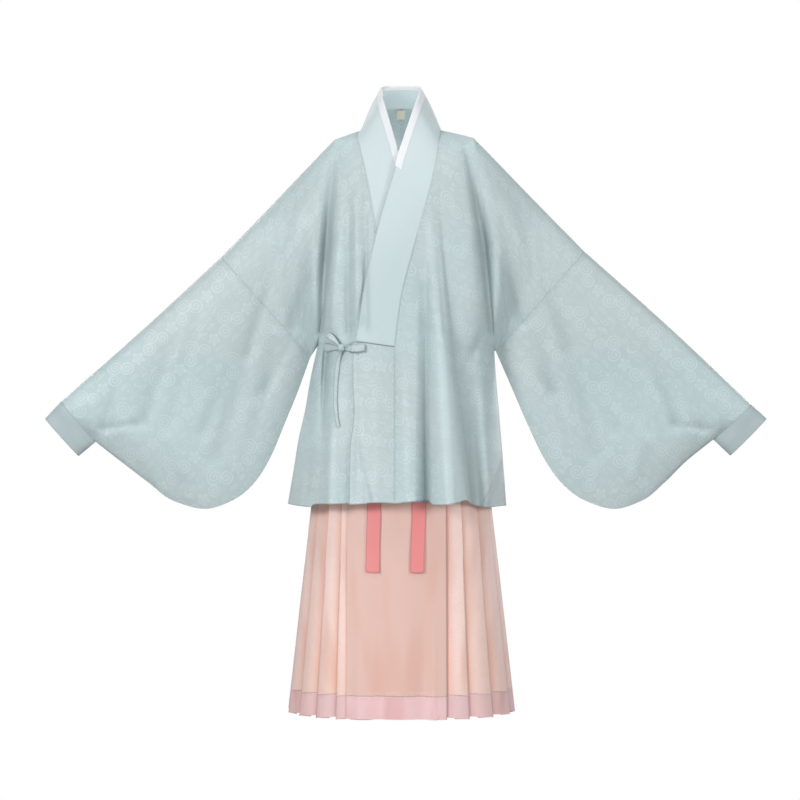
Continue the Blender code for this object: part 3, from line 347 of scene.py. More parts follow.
# Skirt sections. Rows: height, half width, front depth, back depth.
SKIRT = Curve(
    (-0.3, 0.13, 0.096, 0.094), (-0.385, 0.135, 0.099, 0.096), (-0.45, 0.149, 0.108, 0.098),
    (-0.55, 0.165, 0.118, 0.106), (-0.65, 0.178, 0.128, 0.12), (-0.8, 0.1955, 0.144, 0.143),
    (-1.0, 0.219, 0.166, 0.168), (-1.246, 0.2475, 0.196, 0.196),
)
PLEATS = {-1: (0.13, 0.335, 0.55, 0.80), 1: (0.20, 0.445, 0.70, 0.90)}
BACK_PLEATS = (0.19, 0.42, 0.66, 0.88)
WAIST_PLEATS = (0.26, 0.48, 0.70, 0.90)
PANEL_FOLDS = (
    (-0.045, -0.9, 0.001, -0.043, -1.246, 0.007, 0.014),
    (0.04, -0.88, 0.001, 0.047, -1.246, 0.007, 0.015),
    (-0.085, -0.95, 0.0, -0.09, -1.246, -0.004, 0.014), (0.0, -0.98, 0.0, 0.002, -1.246, -0.003, 0.016),
    (0.07, -0.96, 0.0, 0.076, -1.246, -0.003, 0.01),
)

ROWS_TOP = finer((0, 0.025, 0.07, 0.15, 0.26, 0.39, 0.53, 0.68, 0.82, 0.93, 1.0), 8)
ROWS_LOW = np.unique(np.append(np.linspace(0, 1, 52), (GORE_TOP - ARMPIT[1]) / (HEM_END[1] - ARMPIT[1])))
COLUMNS = np.linspace(0, 1, 84)
NECK_COLUMNS = np.linspace(0, 1, 26)
UPPER_SLEEVE = np.linspace(0, 1, 66)


def relief(x, z, folds):
    """The depth that a table of folds gives to a sheet at x, z."""
    deep = strand = np.zeros(np.broadcast(x, z).shape)
    end = None
    for x1, z1, first, x2, z2, last, *width in folds:
        dx, dz = x2 - x1, z2 - z1
        along = np.clip(((x - x1) * dx + (z - z1) * dz) / (dx * dx + dz * dz), 0, 1)
        away = np.hypot(x - x1 - along * dx, z - z1 - along * dz)
        reach = np.where(dx * (z - z1) > dz * (x - x1), width[-1], width[0])
        part = mix(first, last, along) * np.exp(-((away / reach) ** 2))
        if (x1, z1) == end:
            strand = np.where(np.abs(part) > np.abs(strand), part, strand)
        else:
            deep, strand = deep + strand, part
        end = (x2, z2)
    return deep + strand


def half_width(side, z):
    return np.abs(np.where(z > ARMPIT[side], ARMHOLE[side](z), SIDE[side](z)))


def lateral(side, x, z):
    """How full the body is at x, one at the centre and nothing at a side seam."""
    share = np.clip(np.abs(x) / half_width(side, z), 0, 1)
    closing = CLOSING(z + (-0.463 - ARMPIT[side]))
    return np.sqrt(np.clip(1 - closing * share ** 2.4, 0, 1))


def layer(side, x, down):
    """The two fronts part where they lie over each other. The left front is the outer one."""
    return -side * LAYER * smooth(0, 0.15, down) * smooth(0.17, 0.11, x * side)


def front_y(side, x, z, down):
    x, z = np.asarray(x, float), np.asarray(z, float)
    full = FRONT_DEPTH(0.008 - z) * np.where(x > 0, lateral(1, x, z), lateral(-1, x, z))
    near_side = smooth(0.0, 0.03, half_width(side, z) - np.abs(x) + 0.03 * smooth(0, 0.04, z - ARMPIT[side]))
    folds = relief(x, z, FRONT_RELIEF) * smooth(0, 0.08, down) * near_side
    return MIDDLE(z) - full + folds + layer(side, x, down)


def stacked(x, y, z):
    return np.stack(np.broadcast_arrays(x, y, z), axis=-1)


def shoulder(side, c):
    """The fold from the neck point to the tip, as x and z."""
    top = SEAM[side].at[-1]
    return mix(float(SEAM[side](top)), TIP[side][0], c), mix(top, TIP[side][1], c)


def upper_front(side):
    r, c = ROWS_TOP[:, None], COLUMNS[None]
    z0, z1 = mix(SEAM[side].at[-1], COLLAR_END, r), mix(TIP[side][1], ARMPIT[side], r)
    x, z = mix(SEAM[side](z0), ARMHOLE[side](z1), c), mix(z0, z1, c)
    return stacked(x, front_y(side, x, z, r), z)


def lower_front(side):
    v, c = ROWS_LOW[:, None], COLUMNS[None]
    z_side = mix(ARMPIT[side], HEM_END[side], v)
    x_out = SIDE[side](z_side)
    cut = (side > 0) & (z_side < GORE_TOP - 1e-6)
    x_out = np.where(cut, GORE(z_side), x_out)
    x = mix(float(SEAM[side](COLLAR_END)), x_out, c)
    z = mix(mix(COLLAR_END, ARMPIT[side], c), HEM[side](x), v)
    points = stacked(x, front_y(side, x, z, 1), z)
    seam = ~cut[:, 0]
    points[seam, -1] = np.stack([x_out[seam, 0], 0 * v[seam, 0], z_side[seam, 0]], axis=-1)
    return points, seam


def back_sheet(side):
    """The back from the centre seam to the armhole and side seam, above and below the armpit."""
    low, r, v = ARMPIT[side], ROWS_TOP[:, None], ROWS_LOW[:, None]
    n = NECK_COLUMNS[None]
    neck = BACK_NECK(n)
    blend = smooth(0.7, 1, n)
    x_fold, z_fold = shoulder(side, COLUMNS[None, 1:])
    seam_x, seam_z = shoulder(side, 0.0)
    x_top = np.concatenate([mix(side * neck[..., 0], seam_x, blend), x_fold], axis=1)
    z_top = np.concatenate([mix(neck[..., 2], seam_z, blend), z_fold], axis=1)
    start = np.concatenate([BACK_START(n), 0 * x_fold], axis=1)
    c = np.concatenate([0 * n, COLUMNS[None, 1:]], axis=1)
    spread = np.concatenate([BACK_SPREAD(n), mix(0.37, 1, COLUMNS[None, 1:])], axis=1)

    z = mix(z_top, low, r)
    inner = mix(x_top, spread * ARMHOLE[side](low), r)
    at_neck = mix(seam_x, 0.37 * ARMHOLE[side](low), r)
    x = np.where(c > 0, mix(at_neck, ARMHOLE[side](z[:, -1:]), c), inner)
    y = MIDDLE(z) + BACK_DEPTH(mix(start, 0.47, r)) * lateral(side, x, z)
    y = y - relief(x, z, BACK_FOLDS) * smooth(0, 0.08, r) * np.where(
        r < 1, 1 - smooth(0.9, 1, r) * smooth(0.03, 0, half_width(side, z) - np.abs(x)),
        smooth(0, 0.03, half_width(side, z) - np.abs(x)))
    upper = stacked(x, y, z)

    z = mix(low, mix(COAT_HEM, HEM_END[side], c ** 4), v)
    x = spread * SIDE[side](z)
    y = MIDDLE(z) + BACK_DEPTH(0.47 + low - z) * lateral(side, x, z)
    y = y - relief(x, z, BACK_FOLDS) * smooth(0, 0.03, half_width(side, z) - np.abs(x))
    lower = stacked(x, y, z)
    for sheet in (upper, lower):
        sheet[:, 0, 0] = side * SEAM_GAP / 4
    return upper, lower


def sleeve_relief(side, x, z):
    """How deep the sleeve's folds are taken to be for their painted shade and painted highlight."""
    return 1.7 * relief(x, z, SLEEVE_FOLDS[side] + SLEEVE_CREASES[side])


def sleeve_depth(side, x, z, half, r, front, ease=1.0):
    """The depth of a sleeve's section, from its top fold (r 0) to its lower seam (r 1)."""
    middle = mix(MIDDLE(np.maximum(z, -0.46)), 0.004, 0.5)
    full = FULLNESS(r)
    folds = (relief(x, z, SLEEVE_FOLDS[side]) + 1.8 * relief(x, z, SLEEVE_CREASES[side])) * ease
    return middle + ((-half + folds) if front else (half + 0.6 * folds)) * full


def upper_sleeve(side, edge, front):
    """The sleeve from the armhole line to its seam. edge is the body's last column."""
    r, w = ROWS_TOP[:, None], UPPER_SLEEVE[None]
    top, low = SLEEVE_TOP[side](0), SLEEVE_BOTTOM[side](0)
    z0 = mix(TIP[side][1], ARMPIT[side], r)
    x, z = mix(ARMHOLE[side](z0), mix(top[0], low[0], r), w), mix(z0, mix(top[1], low[1], r), w)
    y = sleeve_depth(side, x, z, float(SLEEVE_HALF(0)), r, front)
    own = (relief(x, z, FRONT_RELIEF) if front else -relief(x, z, BACK_FOLDS)) * smooth(0, 0.08, r)
    own = own * smooth(1, 0.9, r)
    y = mix(edge[:, 1:2] - own[:, :1], y, smooth(0, 0.8, w)) + own * smooth(0.7, 0, w)
    points = stacked(x, y, z)
    points[:, 0] = edge
    return points


class Patch:
    """A grid of points with its place on the flat cloth in metres, the way to its seams and its hem, and how
    deep its folds are, which sets the painted shade and painted highlight of its folds."""

    def __init__(self, points, flat, seams="", hem="", flip=False, deep=0.0):
        self.points, self.flat, self.flip = points, flat, flip
        self.deep = np.stack([np.broadcast_to(deep, points.shape[:2]), np.zeros(points.shape[:2])], axis=-1)
        across = np.linalg.norm(np.diff(points, axis=1), axis=2)
        down = np.linalg.norm(np.diff(points, axis=0), axis=2)
        left = np.pad(np.cumsum(across, axis=1), ((0, 0), (1, 0)))
        top = np.pad(np.cumsum(down, axis=0), ((1, 0), (0, 0)))
        ways = {"L": left, "R": left[:, -1:] - left, "T": top, "B": top[-1:] - top}
        far = np.full(points.shape[:2], FAR)
        self.edge = np.stack([np.minimum.reduce([far] + [ways[w] for w in seams]),
                              np.minimum.reduce([far] + [ways[w] for w in hem])], axis=-1)


def arcs(points, along=0.0):
    """The cloth's own lengths over a grid, across from the first column and down from the first row."""
    across = np.linalg.norm(np.diff(points, axis=1), axis=2)
    fall = np.linalg.norm(np.diff(points, axis=0), axis=2)
    u = np.pad(np.cumsum(across, axis=1), ((0, 0), (1, 0))) + along
    v = np.pad(np.cumsum(fall, axis=0), ((1, 0), (0, 0)))
    return np.stack([u, -v], axis=-1)


def body(side):
    """One half of the coat: front, back and upper sleeve in one cut."""
    front_top = upper_front(side)
    front_low, seam = lower_front(side)
    back_top, back_low = back_sheet(side)
    front_top[-1, -1] = front_low[0, -1]
    front_low[0] = front_top[-1]
    back_top[0, -len(COLUMNS):] = front_top[0]
    back_low[seam, -1] = front_low[seam, -1]
    back_top[-1, -1] = front_top[-1, -1]
    back_low[0] = back_top[-1]
    arm_front = upper_sleeve(side, front_top[:, -1], True)
    arm_back = upper_sleeve(side, back_top[:, -1], False)
    arm_back[0], arm_back[-1] = arm_front[0], arm_front[-1]

    front = np.concatenate([front_top, front_low[1:]])
    back = np.concatenate([back_top, back_low[1:]])
    front_flat, back_flat = arcs(front, np.abs(front[:, :1, 0])), arcs(back)
    top = slice(len(ROWS_TOP))
    sheets = (
        (front, front_flat, FRONT_RELIEF),
        (back, back_flat, BACK_FOLDS),
        (arm_front, arcs(arm_front, front_flat[top, -1:, 0]), FRONT_RELIEF),
        (arm_back, arcs(arm_back, back_flat[top, -1:, 0]), BACK_FOLDS),
    )
    patches = []
    for i, (sheet, flat, folds) in enumerate(sheets):
        x, z = sheet[..., 0], sheet[..., 2]
        # deep sets the painted shade in the folds and the painted highlight on the ridges.
        deep, seams, hem = relief(x, z, folds), "L", "B"
        if i > 1:
            arm = sleeve_relief(side, x, z) * FULLNESS(ROWS_TOP)[:, None]
            deep = mix(deep * smooth(0.7, 0, UPPER_SLEEVE), arm, smooth(0, 0.8, UPPER_SLEEVE))
            seams, hem = "R", ""
        patches.append(Patch(sheet, flat, seams, hem, (side < 0) == (i % 2 == 0), deep))
    return patches


def gore():
    """The triangle between the left side seam and the slanting seam of the front, above the hem."""
    z_side, c = np.linspace(GORE_TOP - 0.003, HEM_END[1], 34)[:, None], np.linspace(0, 1, 16)[None]
    x = mix(GORE(z_side) + SEAM_GAP, SIDE[1](z_side), c)
    share = (ARMPIT[1] - z_side) / (ARMPIT[1] - HEM_END[1])
    z = mix(mix(ARMPIT[1], HEM[1](x), share), z_side, c)
    y = mix(front_y(1, x, z, 1), -0.0020, c ** 2)
    points = stacked(x, y, z)
    return [Patch(points, arcs(points, 0.4), "L", "B", False, relief(x, z, FRONT_RELIEF))]


def lower_sleeve(side):
    """The lower sleeve as a tube, its top fold and its lower seam each a line of the grid."""
    s = finer((0, 0.10, 0.22, 0.34, 0.46, 0.57, 0.67, 0.76, 0.84, 0.92, 1.0), 9)[:, None]
    r = ROWS_TOP[None]
    top, bottom = SLEEVE_TOP[side](s), SLEEVE_BOTTOM[side](s)
    shift = side * SEAM_GAP * 0.7 * (1 - s)
    x = mix(top[..., 0], bottom[..., 0], r) + shift
    z = mix(top[..., 1], bottom[..., 1], r) - np.abs(shift)
    fold = np.array(SLEEVE_TOP[side](1)) - np.array(SLEEVE_TOP[side](0))
    fold /= np.linalg.norm(fold)
    dx, dz = x - float(top[0, 0, 0]), z - float(top[0, 0, 1])
    flat = np.stack([dx * fold[0] + dz * fold[1] + 0.37, -np.abs(dx * fold[1] - dz * fold[0])], axis=-1)
    patches = []
    for front in (True, False):
        points = stacked(x, sleeve_depth(side, x, z, SLEEVE_HALF(s), r, front, smooth(1, 0.95, s)), z)
        deep = sleeve_relief(side, x, z) * FULLNESS(r)
        patches.append(Patch(points, flat + (0 if front else 0.061), "TB", "", (side < 0) == front, deep))
    return patches


def cuff(side):
    """The straight cuff, from the sleeve's end section to its own rounder one."""
    top, low, top_end, low_end = (np.array(p) for p in CUFF[side])
    w, r = np.linspace(0.004, 1, 14)[:, None], (1 - np.cos(np.pi * np.linspace(0, 1, 40)))[None] / 2
    a, b = mix(top, top_end, w[..., None]), mix(low, low_end, w[..., None])
    place = mix(a, b, r[..., None])
    half = mix(0.0205, 0.0165, w)
    bulge = half * np.clip(1 - np.abs(2 * r - 1) ** 2.2, 0, 1) ** 0.5
    bulge = mix(float(SLEEVE_HALF(1)) * FULLNESS(r), bulge, smooth(0, 0.6, w))
    patches = []
    for front in (True, False):
        points = stacked(place[..., 0], mix(0.002, 0.003, w) + (-bulge if front else bulge), place[..., 1])
        patches.append(Patch(points, arcs(points), "TB", "", (side < 0) == front))
    return patches


def collar_point(side, share, w):
    """A row of collar points, w 0 at the leading edge and 1 at its seam."""
    if share < 0:
        t = 1 + share if side else 0
        mirror = side or 1
        lead, seam = np.array(BACK_LEADING(t)), np.array(BACK_NECK(t))
        lead[0] *= mirror
        seam[0] *= mirror
        turned = np.array((0.6 * mirror * np.sin(t * 1.57), np.cos(t * 1.57) * 0.6, 0.8))
        return mix(lead, seam, w[:, None]) + turned * (0.004 * np.sin(np.pi * w))[:, None]
    top = float(SEAM[side].at[-1])
    z1 = mix(top, COLLAR_END, share)
    x1 = float(SEAM[side](z1))
    x0, z0 = LEADING[side](share)
    y1 = float(MIDDLE(z1)) if share == 0 else float(front_y(side, x1, z1, share))
    x, z = mix(x0, x1, w), mix(z0, z1, w)
    y0 = float(LEADING_Y(share)) + (float(layer(side, x0, share)) if share else 0)
    on_body = front_y(side, x, np.minimum(z, 0.0), share)
    return np.stack([x, mix(mix(y0, y1, w), on_body, float(smooth(0.12, 0.34, share))), z], axis=-1)


def collar_rows():
    """The collar from its inner end round the neck to its outer end: sides, shares and the grid of points."""
    neck = NECK_COLUMNS[1:-1]
    stations = ([(-1, r) for r in ROWS_TOP[::-1]] + [(-1, -t) for t in neck] + [(0, -1)]
                + [(1, -t) for t in neck[::-1]] + [(1, r) for r in ROWS_TOP])
    grid = np.array([collar_point(side, share, np.linspace(0, 1, 22)) for side, share in stations])
    across = grid[:, -2] - grid[:, -1]
    gap = np.array([0.0010 if share < 0 else mix(0.0008, SEAM_GAP, float(smooth(0, 0.2, share)))
                    for _, share in stations])
    grid[:, -1] += across / np.linalg.norm(across, axis=1)[:, None] * gap[:, None]
    return stations, grid


def grid_normals(grid):
    """Each point's normal, out of the collar's shown face."""
    flat = np.cross(grid[1:, 1:] - grid[:-1, :-1], grid[:-1, 1:] - grid[1:, :-1])
    flat /= np.linalg.norm(flat, axis=2)[..., None]
    normal = np.zeros_like(grid)
    for i, j in ((0, 0), (0, 1), (1, 0), (1, 1)):
        normal[i:len(grid) - 1 + i, j:grid.shape[1] - 1 + j] += flat
    return -normal / np.linalg.norm(normal, axis=2)[..., None]


def guard(stations, grid):
    """The strip folded over the collar's leading edge, ending just below the crossing of the collar."""
    normal = grid_normals(grid)
    keep = [i for i, (_, share) in enumerate(stations) if share <= GUARD_END]
    grid, normal = grid[keep], normal[keep]
    off = BAND_CLOTH / 2 + 0.0004 + GUARD_CLOTH / 2
    lead, inside = grid[:, 0], grid[:, 1] * 0.1 + grid[:, 4] * 0.9
    out = (lead - inside) / np.linalg.norm(lead - inside, axis=1)[:, None]
    turn = np.linspace(0, np.pi, 9)[None, :, None]
    fold = lead[:, None] + (out[:, None] * np.sin(turn) * 0.9 + normal[:, :1] * np.cos(turn)) * off
    steps = np.linspace(0, 1, 8)
    front = np.stack([mix(inside + normal[:, 3] * off, fold[:, 0], t) for t in steps[:-1]], axis=1)
    back = np.stack([mix(fold[:, -1], inside - normal[:, 3] * off, t) for t in steps[1:]], axis=1)
    points = np.concatenate([front, fold, back], axis=1)
    return [Patch(points, arcs(points), "", "L")]


def overlap(side):
    """The strip below the collar's end, from the centre-front seam to the free edge."""
    x_in = float(SEAM[side](COLLAR_END)) - side * SEAM_GAP
    lead_x, lead_z = LEADING[side](1)
    v, c = np.linspace(0, 1, 70)[:, None], np.linspace(0, 1, 44)[None]
    z = mix(mix(COLLAR_END, lead_z, c) - 0.001, float(HEM[1](x_in)) + 0.002 * np.sin(c * 5), v)
    x = mix(x_in, OVERLAP_EDGE(z) if side > 0 else lead_x + 0.006 * v, c)
    points = stacked(x, front_y(side, x, z, 1) + (0.003 * c if side < 0 else 0), z)
    return [Patch(points, arcs(points, 0.02), "LT", "BR", side > 0, relief(x, z, FRONT_RELIEF))]


class Rim:
    """The skirt's section at a height, by arc length from the front centre towards +X."""

    def __init__(self, z):
        wide, front, back = SKIRT(z)
        angle = np.linspace(0, np.pi, 361)
        s, c = np.sin(angle), np.cos(angle)
        self.x = wide * np.abs(s) ** 0.92
        self.y = -np.where(c > 0, front, back) * np.sign(c) * np.abs(c) ** 0.92
        self.arc = np.concatenate([[0], np.cumsum(np.hypot(np.diff(self.x), np.diff(self.y)))])
        self.whole = self.arc[-1]
        self.side = float(self.arc[180])

    def at(self, arc, line):
        return np.interp(arc, self.arc, line)

    def point(self, arc, level=0.0):
        arc = (np.asarray(arc, float) + self.whole) % (2 * self.whole) - self.whole
        sign, arc = np.where(arc >= 0, 1, -1), np.abs(arc)
        ahead, behind = np.minimum(arc + 0.002, self.whole), np.maximum(arc - 0.002, 0)
        dx = self.at(ahead, self.x) - self.at(behind, self.x)
        dy = self.at(ahead, self.y) - self.at(behind, self.y)
        size = np.hypot(dx, dy)
        return sign * (self.at(arc, self.x) + dy / size * level), self.at(arc, self.y) - dx / size * level


def crown_of(k, fall):
    """How far a pleat's face swells, a little different on each."""
    return PLEAT_CROWN * fall * (0.7 + 0.3 * np.sin(2.3 * k + 1))


def pleat_run(start, edges, level, fall):
    """Knife pleats as (arc, level, way from the fold over it, dip), every fold turned away from the panel,
    each face crowned and dipping towards its own fold at the hem."""
    g, run = PLEAT_STEP, []
    folds = [start] + list(edges)
    for k, edge in enumerate(folds):
        width = (folds[k + 1] - edge) if k == 0 else edge - folds[k - 1]
        tuck = PLEAT_TUCK * min(width, (folds[k + 1] - edge) if k + 1 < len(folds) else width)
        at_edge = level if k == 0 else 0.0
        back = at_edge if k == 0 else -2 * g * tuck / width
        crown = crown_of(k, fall) if k else 0.0
        after_fold = width if k else FAR
        low, lean = (1.0, 2.0) if k else (0.6, 0.0)
        for t in np.linspace(0, 1, 8):
            rise = crown * np.sin(np.pi * mix(1 - tuck / width, 1, t))
            run.append((edge - tuck * (1 - t), mix(back, at_edge, t) + rise, after_fold - tuck * (1 - t),
                        low - lean * tuck / width * (1 - t)))
        run.append((edge + 0.0003, at_edge - g / 2, after_fold, low))
        for t in np.linspace(0, 1, 5):
            run.append((edge - tuck * t, mix(at_edge, back, t) - g, 0, mix(low, 0.5, t)))
        for t in np.linspace(0, 1, 5):
            run.append((edge - tuck * (1 - t), mix(back, at_edge, t) - 2 * g, 0, mix(0.5, -1, t)))
        if k + 1 < len(folds):
            after = folds[k + 1] - edge
            beyond = (folds[k + 2] - folds[k + 1]) if k + 2 < len(folds) else after
            stop = after - PLEAT_TUCK * min(after, beyond)
            crown = crown_of(k + 1, fall)
            under, over = at_edge - 2 * g, -2 * g * (after - stop) / after
            for t in (0.02, 0.15, 0.3, 0.5, 0.75):
                rise = crown * np.sin(np.pi * stop / after * t)
                run.append((edge + stop * t, mix(under, over, t) + rise, stop * t, 2 * stop / after * t - 1))
    return run


def panel_run(first, last, deep, level):
    """A flat panel in the same form, from its free edge to the first pleat."""
    return [(mix(first, last, f), mix(deep, level, f), FAR, 0.6 * smooth(0.8, 1, f))
            for f in np.linspace(0, 1, 26)]


def skirt_section(side, z):
    """One half's section, from the front panel's free edge round its side to the back panel's free edge."""
    rim, g = Rim(z), PLEAT_STEP
    own, other = DOOR_HALF + side * DOOR_CENTRE, DOOR_HALF - side * DOOR_CENTRE
    outer_front, outer_back = side > 0, side < 0
    start = own - (0 if outer_front else 0.008)
    back_start = rim.whole - BACK_DOOR_HALF + (0 if outer_back else 0.008)
    front_level, back_level = (0.0 if outer_front else -1.3 * g), (0.0 if outer_back else -1.3 * g)
    even, fall = float(smooth(-0.80, -0.40, z)), float(smooth(-0.75, -1.24, z))
    back_arc = rim.whole - back_start

    def edges(begin, shares):
        return [begin + (rim.side - begin) * mix(f, e, even) for f, e in zip(shares, WAIST_PLEATS)]

    front_free = -other + (0 if outer_front else 0.012)
    back_free = -BACK_DOOR_HALF + (0 if outer_back else 0.012)
    deep = -3.6 * g
    front = panel_run(front_free, start - 0.03, 0.0 if outer_front else deep, front_level)
    front += pleat_run(start, edges(start, PLEATS[side]), front_level, fall)
    back = panel_run(back_free, back_arc - 0.03, 0.0 if outer_back else deep, back_level)
    back += pleat_run(back_arc, edges(back_arc, BACK_PLEATS), back_level, fall)
    back = [(rim.whole - arc, *rest) for arc, *rest in reversed(back)]
    a, b = front[-1], back[0]
    at_side = [(mix(a[0], b[0], t), mix(a[1], b[1], t), (b[0] - a[0]) * min(t, 1 - t), mix(a[3], b[3], t))
               for t in (0.1, 0.25, 0.4, 0.6, 0.75, 0.9)]
    section = np.array(front + at_side + back)
    x, y = rim.point(side * section[:, 0], section[:, 1])
    on_door = (y < 0) & (np.abs(section[:, 0]) < own) & (np.abs(x - DOOR_CENTRE) < 0.085)
    y = y + np.where(on_door, relief(x, z, PANEL_FOLDS), 0)
    return np.stack([x, y, z - 0.0028 * section[:, 3] * smooth(-0.95, -1.2, z), section[:, 2]], axis=-1)


def skirt_sheet(side, heights, hem):
    """One half's cloth between two heights. hem names the edges that are hemmed."""
    rows = np.array([skirt_section(side, z) for z in heights])
    patch = Patch(rows[..., :3], arcs(rows[..., :3]), "", hem, side > 0)
    # The way from the fold over each point takes the seam's place; it sets the painted shadow beside each
    # pleat's edge.
    patch.edge[..., 0] = rows[..., 3]
    return [patch]


def round_waist(turn, level, heights):
    """Rings round the waist; turn counts from the knot in whole turns."""
    rows = []
    for z in heights:
        rim = Rim(z)
        x, y = rim.point(DOOR_CENTRE + turn * 2 * rim.whole, level)
        rows.append(np.stack([x, y, np.full(len(x), z)], axis=-1))
    return np.array(rows)


def waistband():
    """The band that the pleats are sewn into, its outer end drawn in under the rest."""
    turns = np.linspace(3, 36, 150) / 30
    points = round_waist(turns, -0.001 - 0.0036 * smooth(0.30, 0.20, turns), np.linspace(*WAISTBAND, 8))
    return [Patch(points, arcs(points), "TB", "")]


def tie_wrap():
    """The ribbon's turn round the waistband, from one side of the knot to the other."""
    points = round_waist(np.linspace(0.0017, 0.9983, 140), 0.0019, np.linspace(-0.334, -0.364, 6))
    return [Patch(points, arcs(points), "TB", "")]


def door_y(x, z):
    """The front panel's depth."""
    return Rim(z).point(x)[1]


def tail(side):
    """A ribbon end hanging down the front panel, from the knot to below the coat's hem."""
    mid_x, low_x = (-0.0565, -0.0600) if side < 0 else (0.0385, 0.0340)
    rows = []
    for z in np.linspace(-0.3662, -0.941, 90):
        f = (-0.3662 - z) / 0.5748
        x = mix(DOOR_CENTRE + side * 0.0085, mid_x, float(smooth(0, 0.7, f)))
        x += (low_x - mid_x) * float(smooth(0.7, 1, f))
        lift = mix(0.0017, KNOT_LIFT, float(smooth(0.10, 0, f)))
        half = mix(0.0060, 0.0148, float(smooth(0, 0.3, f)))
        across = np.linspace(-half, half, 9)
        wave = 0.0012 * np.sin(14 * f + side) * smooth(0.3, 0.6, f) + 0.0008 * smooth(0.75, 1, f)
        y = door_y(x + across, z) - lift - np.abs(wave)
        rows.append(np.stack([x + across, y, np.full(9, z)], axis=-1))
    points = np.array(rows)
    return [Patch(points, arcs(points), "", "LRB")]


def knot(centre, half):
    """A rounded knot with soft wraps round it."""
    polar, turn = np.linspace(0.04, np.pi - 0.04, 26)[:, None], np.linspace(0, 2 * np.pi, 45)[None]
    p = stacked(np.sin(polar) * np.cos(turn), np.sin(polar) * np.sin(turn), np.cos(polar))
    p = np.sign(p) * np.abs(p) ** (2 / 2.6)
    wraps = np.cos(6 * turn + 3 * np.cos(polar)) * np.sin(polar)
    pinch = np.exp(-((p[..., 2] - 0.3 * p[..., 0]) / 0.12) ** 2)
    swell = 1 + 0.05 * wraps - 0.05 * pinch
    points = np.array(centre) + p * np.array(half) * swell[..., None]
    points[:, -1] = points[:, 0]
    points[0], points[-1] = points[0].mean(0), points[-1].mean(0)
    return [Patch(points, arcs(points), "", "")]


def bow_ground(x, z):
    """The outermost cloth under the bow."""
    return np.where(x > -0.105, front_y(1, x, z, 1), front_y(-1, x, z, 1))


KNOT = (-0.1265, -0.466)

# Ribbons of the closing. Rows: x, z, lift off the cloth's middle, half width along x and z.
TIES = {
    "ao_tie_side": (
        (-0.164, -0.464, 0.0042, 0, 0.0085), (-0.156, -0.4645, 0.004, 0, 0.0085),
        (-0.146, -0.4655, 0.004, 0, 0.0062), (-0.1345, -0.4662, 0.0102, 0, 0.0045),
    ),
    "ao_tie_front": (
        (-0.0935, -0.4602, 0.0018, 0.002, 0.0066), (-0.102, -0.461, 0.0021, 0.002, 0.0055),
        (-0.111, -0.4618, 0.0078, 0.001, 0.0038), (-0.1183, -0.4624, 0.0054, 0, 0.0026),
    ),
    "ao_bow_loop_right": (
        (-0.1186, -0.4692, 0.007, 0, 0.0032), (-0.11, -0.4678, 0.0158, 0, 0.0066),
        (-0.095, -0.467, 0.0098, 0, 0.0084), (-0.0815, -0.466, 0.0092, 0, 0.008),
        (-0.0775, -0.4655, 0.0072, 0, 0.0078), (-0.0815, -0.4655, 0.005, 0, 0.0078),
        (-0.095, -0.4665, 0.005, 0, 0.0076), (-0.1085, -0.4675, 0.0128, 0, 0.005),
    ),
    "ao_bow_loop_left": (
        (-0.1322, -0.4598, 0.0096, 0.0014, 0.0018), (-0.1425, -0.448, 0.0105, 0.0032, 0.004),
        (-0.153, -0.44, 0.0108, 0.0038, 0.005), (-0.158, -0.4375, 0.008, 0.0038, 0.005),
        (-0.1545, -0.4405, 0.0052, 0.0038, 0.005), (-0.144, -0.45, 0.004, 0.0032, 0.004),
    ),
    "ao_bow_tail": (
        (-0.1275, -0.4742, 0.0083, 0.0036, 0), (-0.131, -0.482, 0.0045, 0.0042, 0),
        (-0.1345, -0.5, 0.0021, 0.0045, 0), (-0.1385, -0.54, 0.0021, 0.0048, 0),
        (-0.1395, -0.575, 0.0022, 0.0045, 0), (-0.1375, -0.607, 0.0022, 0.0042, 0),
        (-0.133, -0.634, 0.0022, 0.0042, 0),
    ),
}


def laid(table):
    """A ribbon lying on the coat, crowned a little across."""
    line = Curve(*[(i, *row) for i, row in enumerate(table)])
    x, z, lift, half_x, half_z = np.moveaxis(line(np.linspace(0, len(table) - 1, 12 * len(table))), -1, 0)
    ground = np.minimum.reduce([bow_ground(x + k * half_x, z + k * half_z) for k in (0, -1, 1)])
    w = np.linspace(-1, 1, 11)[None]
    points = stacked(x[:, None] + half_x[:, None] * w, (ground - lift)[:, None] - 0.0006 * (1 - w ** 2),
                     z[:, None] + half_z[:, None] * w)
    return [Patch(points, arcs(points), "", "LR")]


def neck_label(centre_back):
    """A plain label inside the centre back. centre_back is the back sheet's first column."""
    z, x = np.linspace(0.063, 0.043, 10)[:, None], np.linspace(-0.0098, 0.0092, 10)[None]
    order = np.argsort(centre_back[:, 2])
    y = np.interp(z, centre_back[order, 2], centre_back[order, 1]) - 0.0030 - 0.12 * x * x
    points = stacked(x, y, z)
    return [Patch(points, arcs(points), "TBLR", "")]


class Term:
    """A number made by shader nodes, which takes arithmetic as a plain number does."""

    tree = None

    def __init__(self, socket):
        self.socket = socket

    @staticmethod
    def put(socket, value):
        if isinstance(value, Term):
            Term.tree.links.new(value.socket, socket)
        else:
            socket.default_value = value

    @classmethod
    def math(cls, how, *values):
        node = cls.tree.nodes.new("ShaderNodeMath")
        node.operation = how
        for socket, value in zip(node.inputs, values):
            cls.put(socket, value)
        return cls(node.outputs[0])

    def __add__(self, other): return self.math("ADD", self, other)
    def __radd__(self, other): return self.math("ADD", other, self)
    def __sub__(self, other): return self.math("SUBTRACT", self, other)
    def __rsub__(self, other): return self.math("SUBTRACT", other, self)
    def __mul__(self, other): return self.math("MULTIPLY", self, other)
    def __rmul__(self, other): return self.math("MULTIPLY", other, self)
    def __truediv__(self, other): return self.math("DIVIDE", self, other)


def op(how, *values):
    return Term.math(how, *values)


def length(x, y):
    return op("SQRT", x * x + y * y)


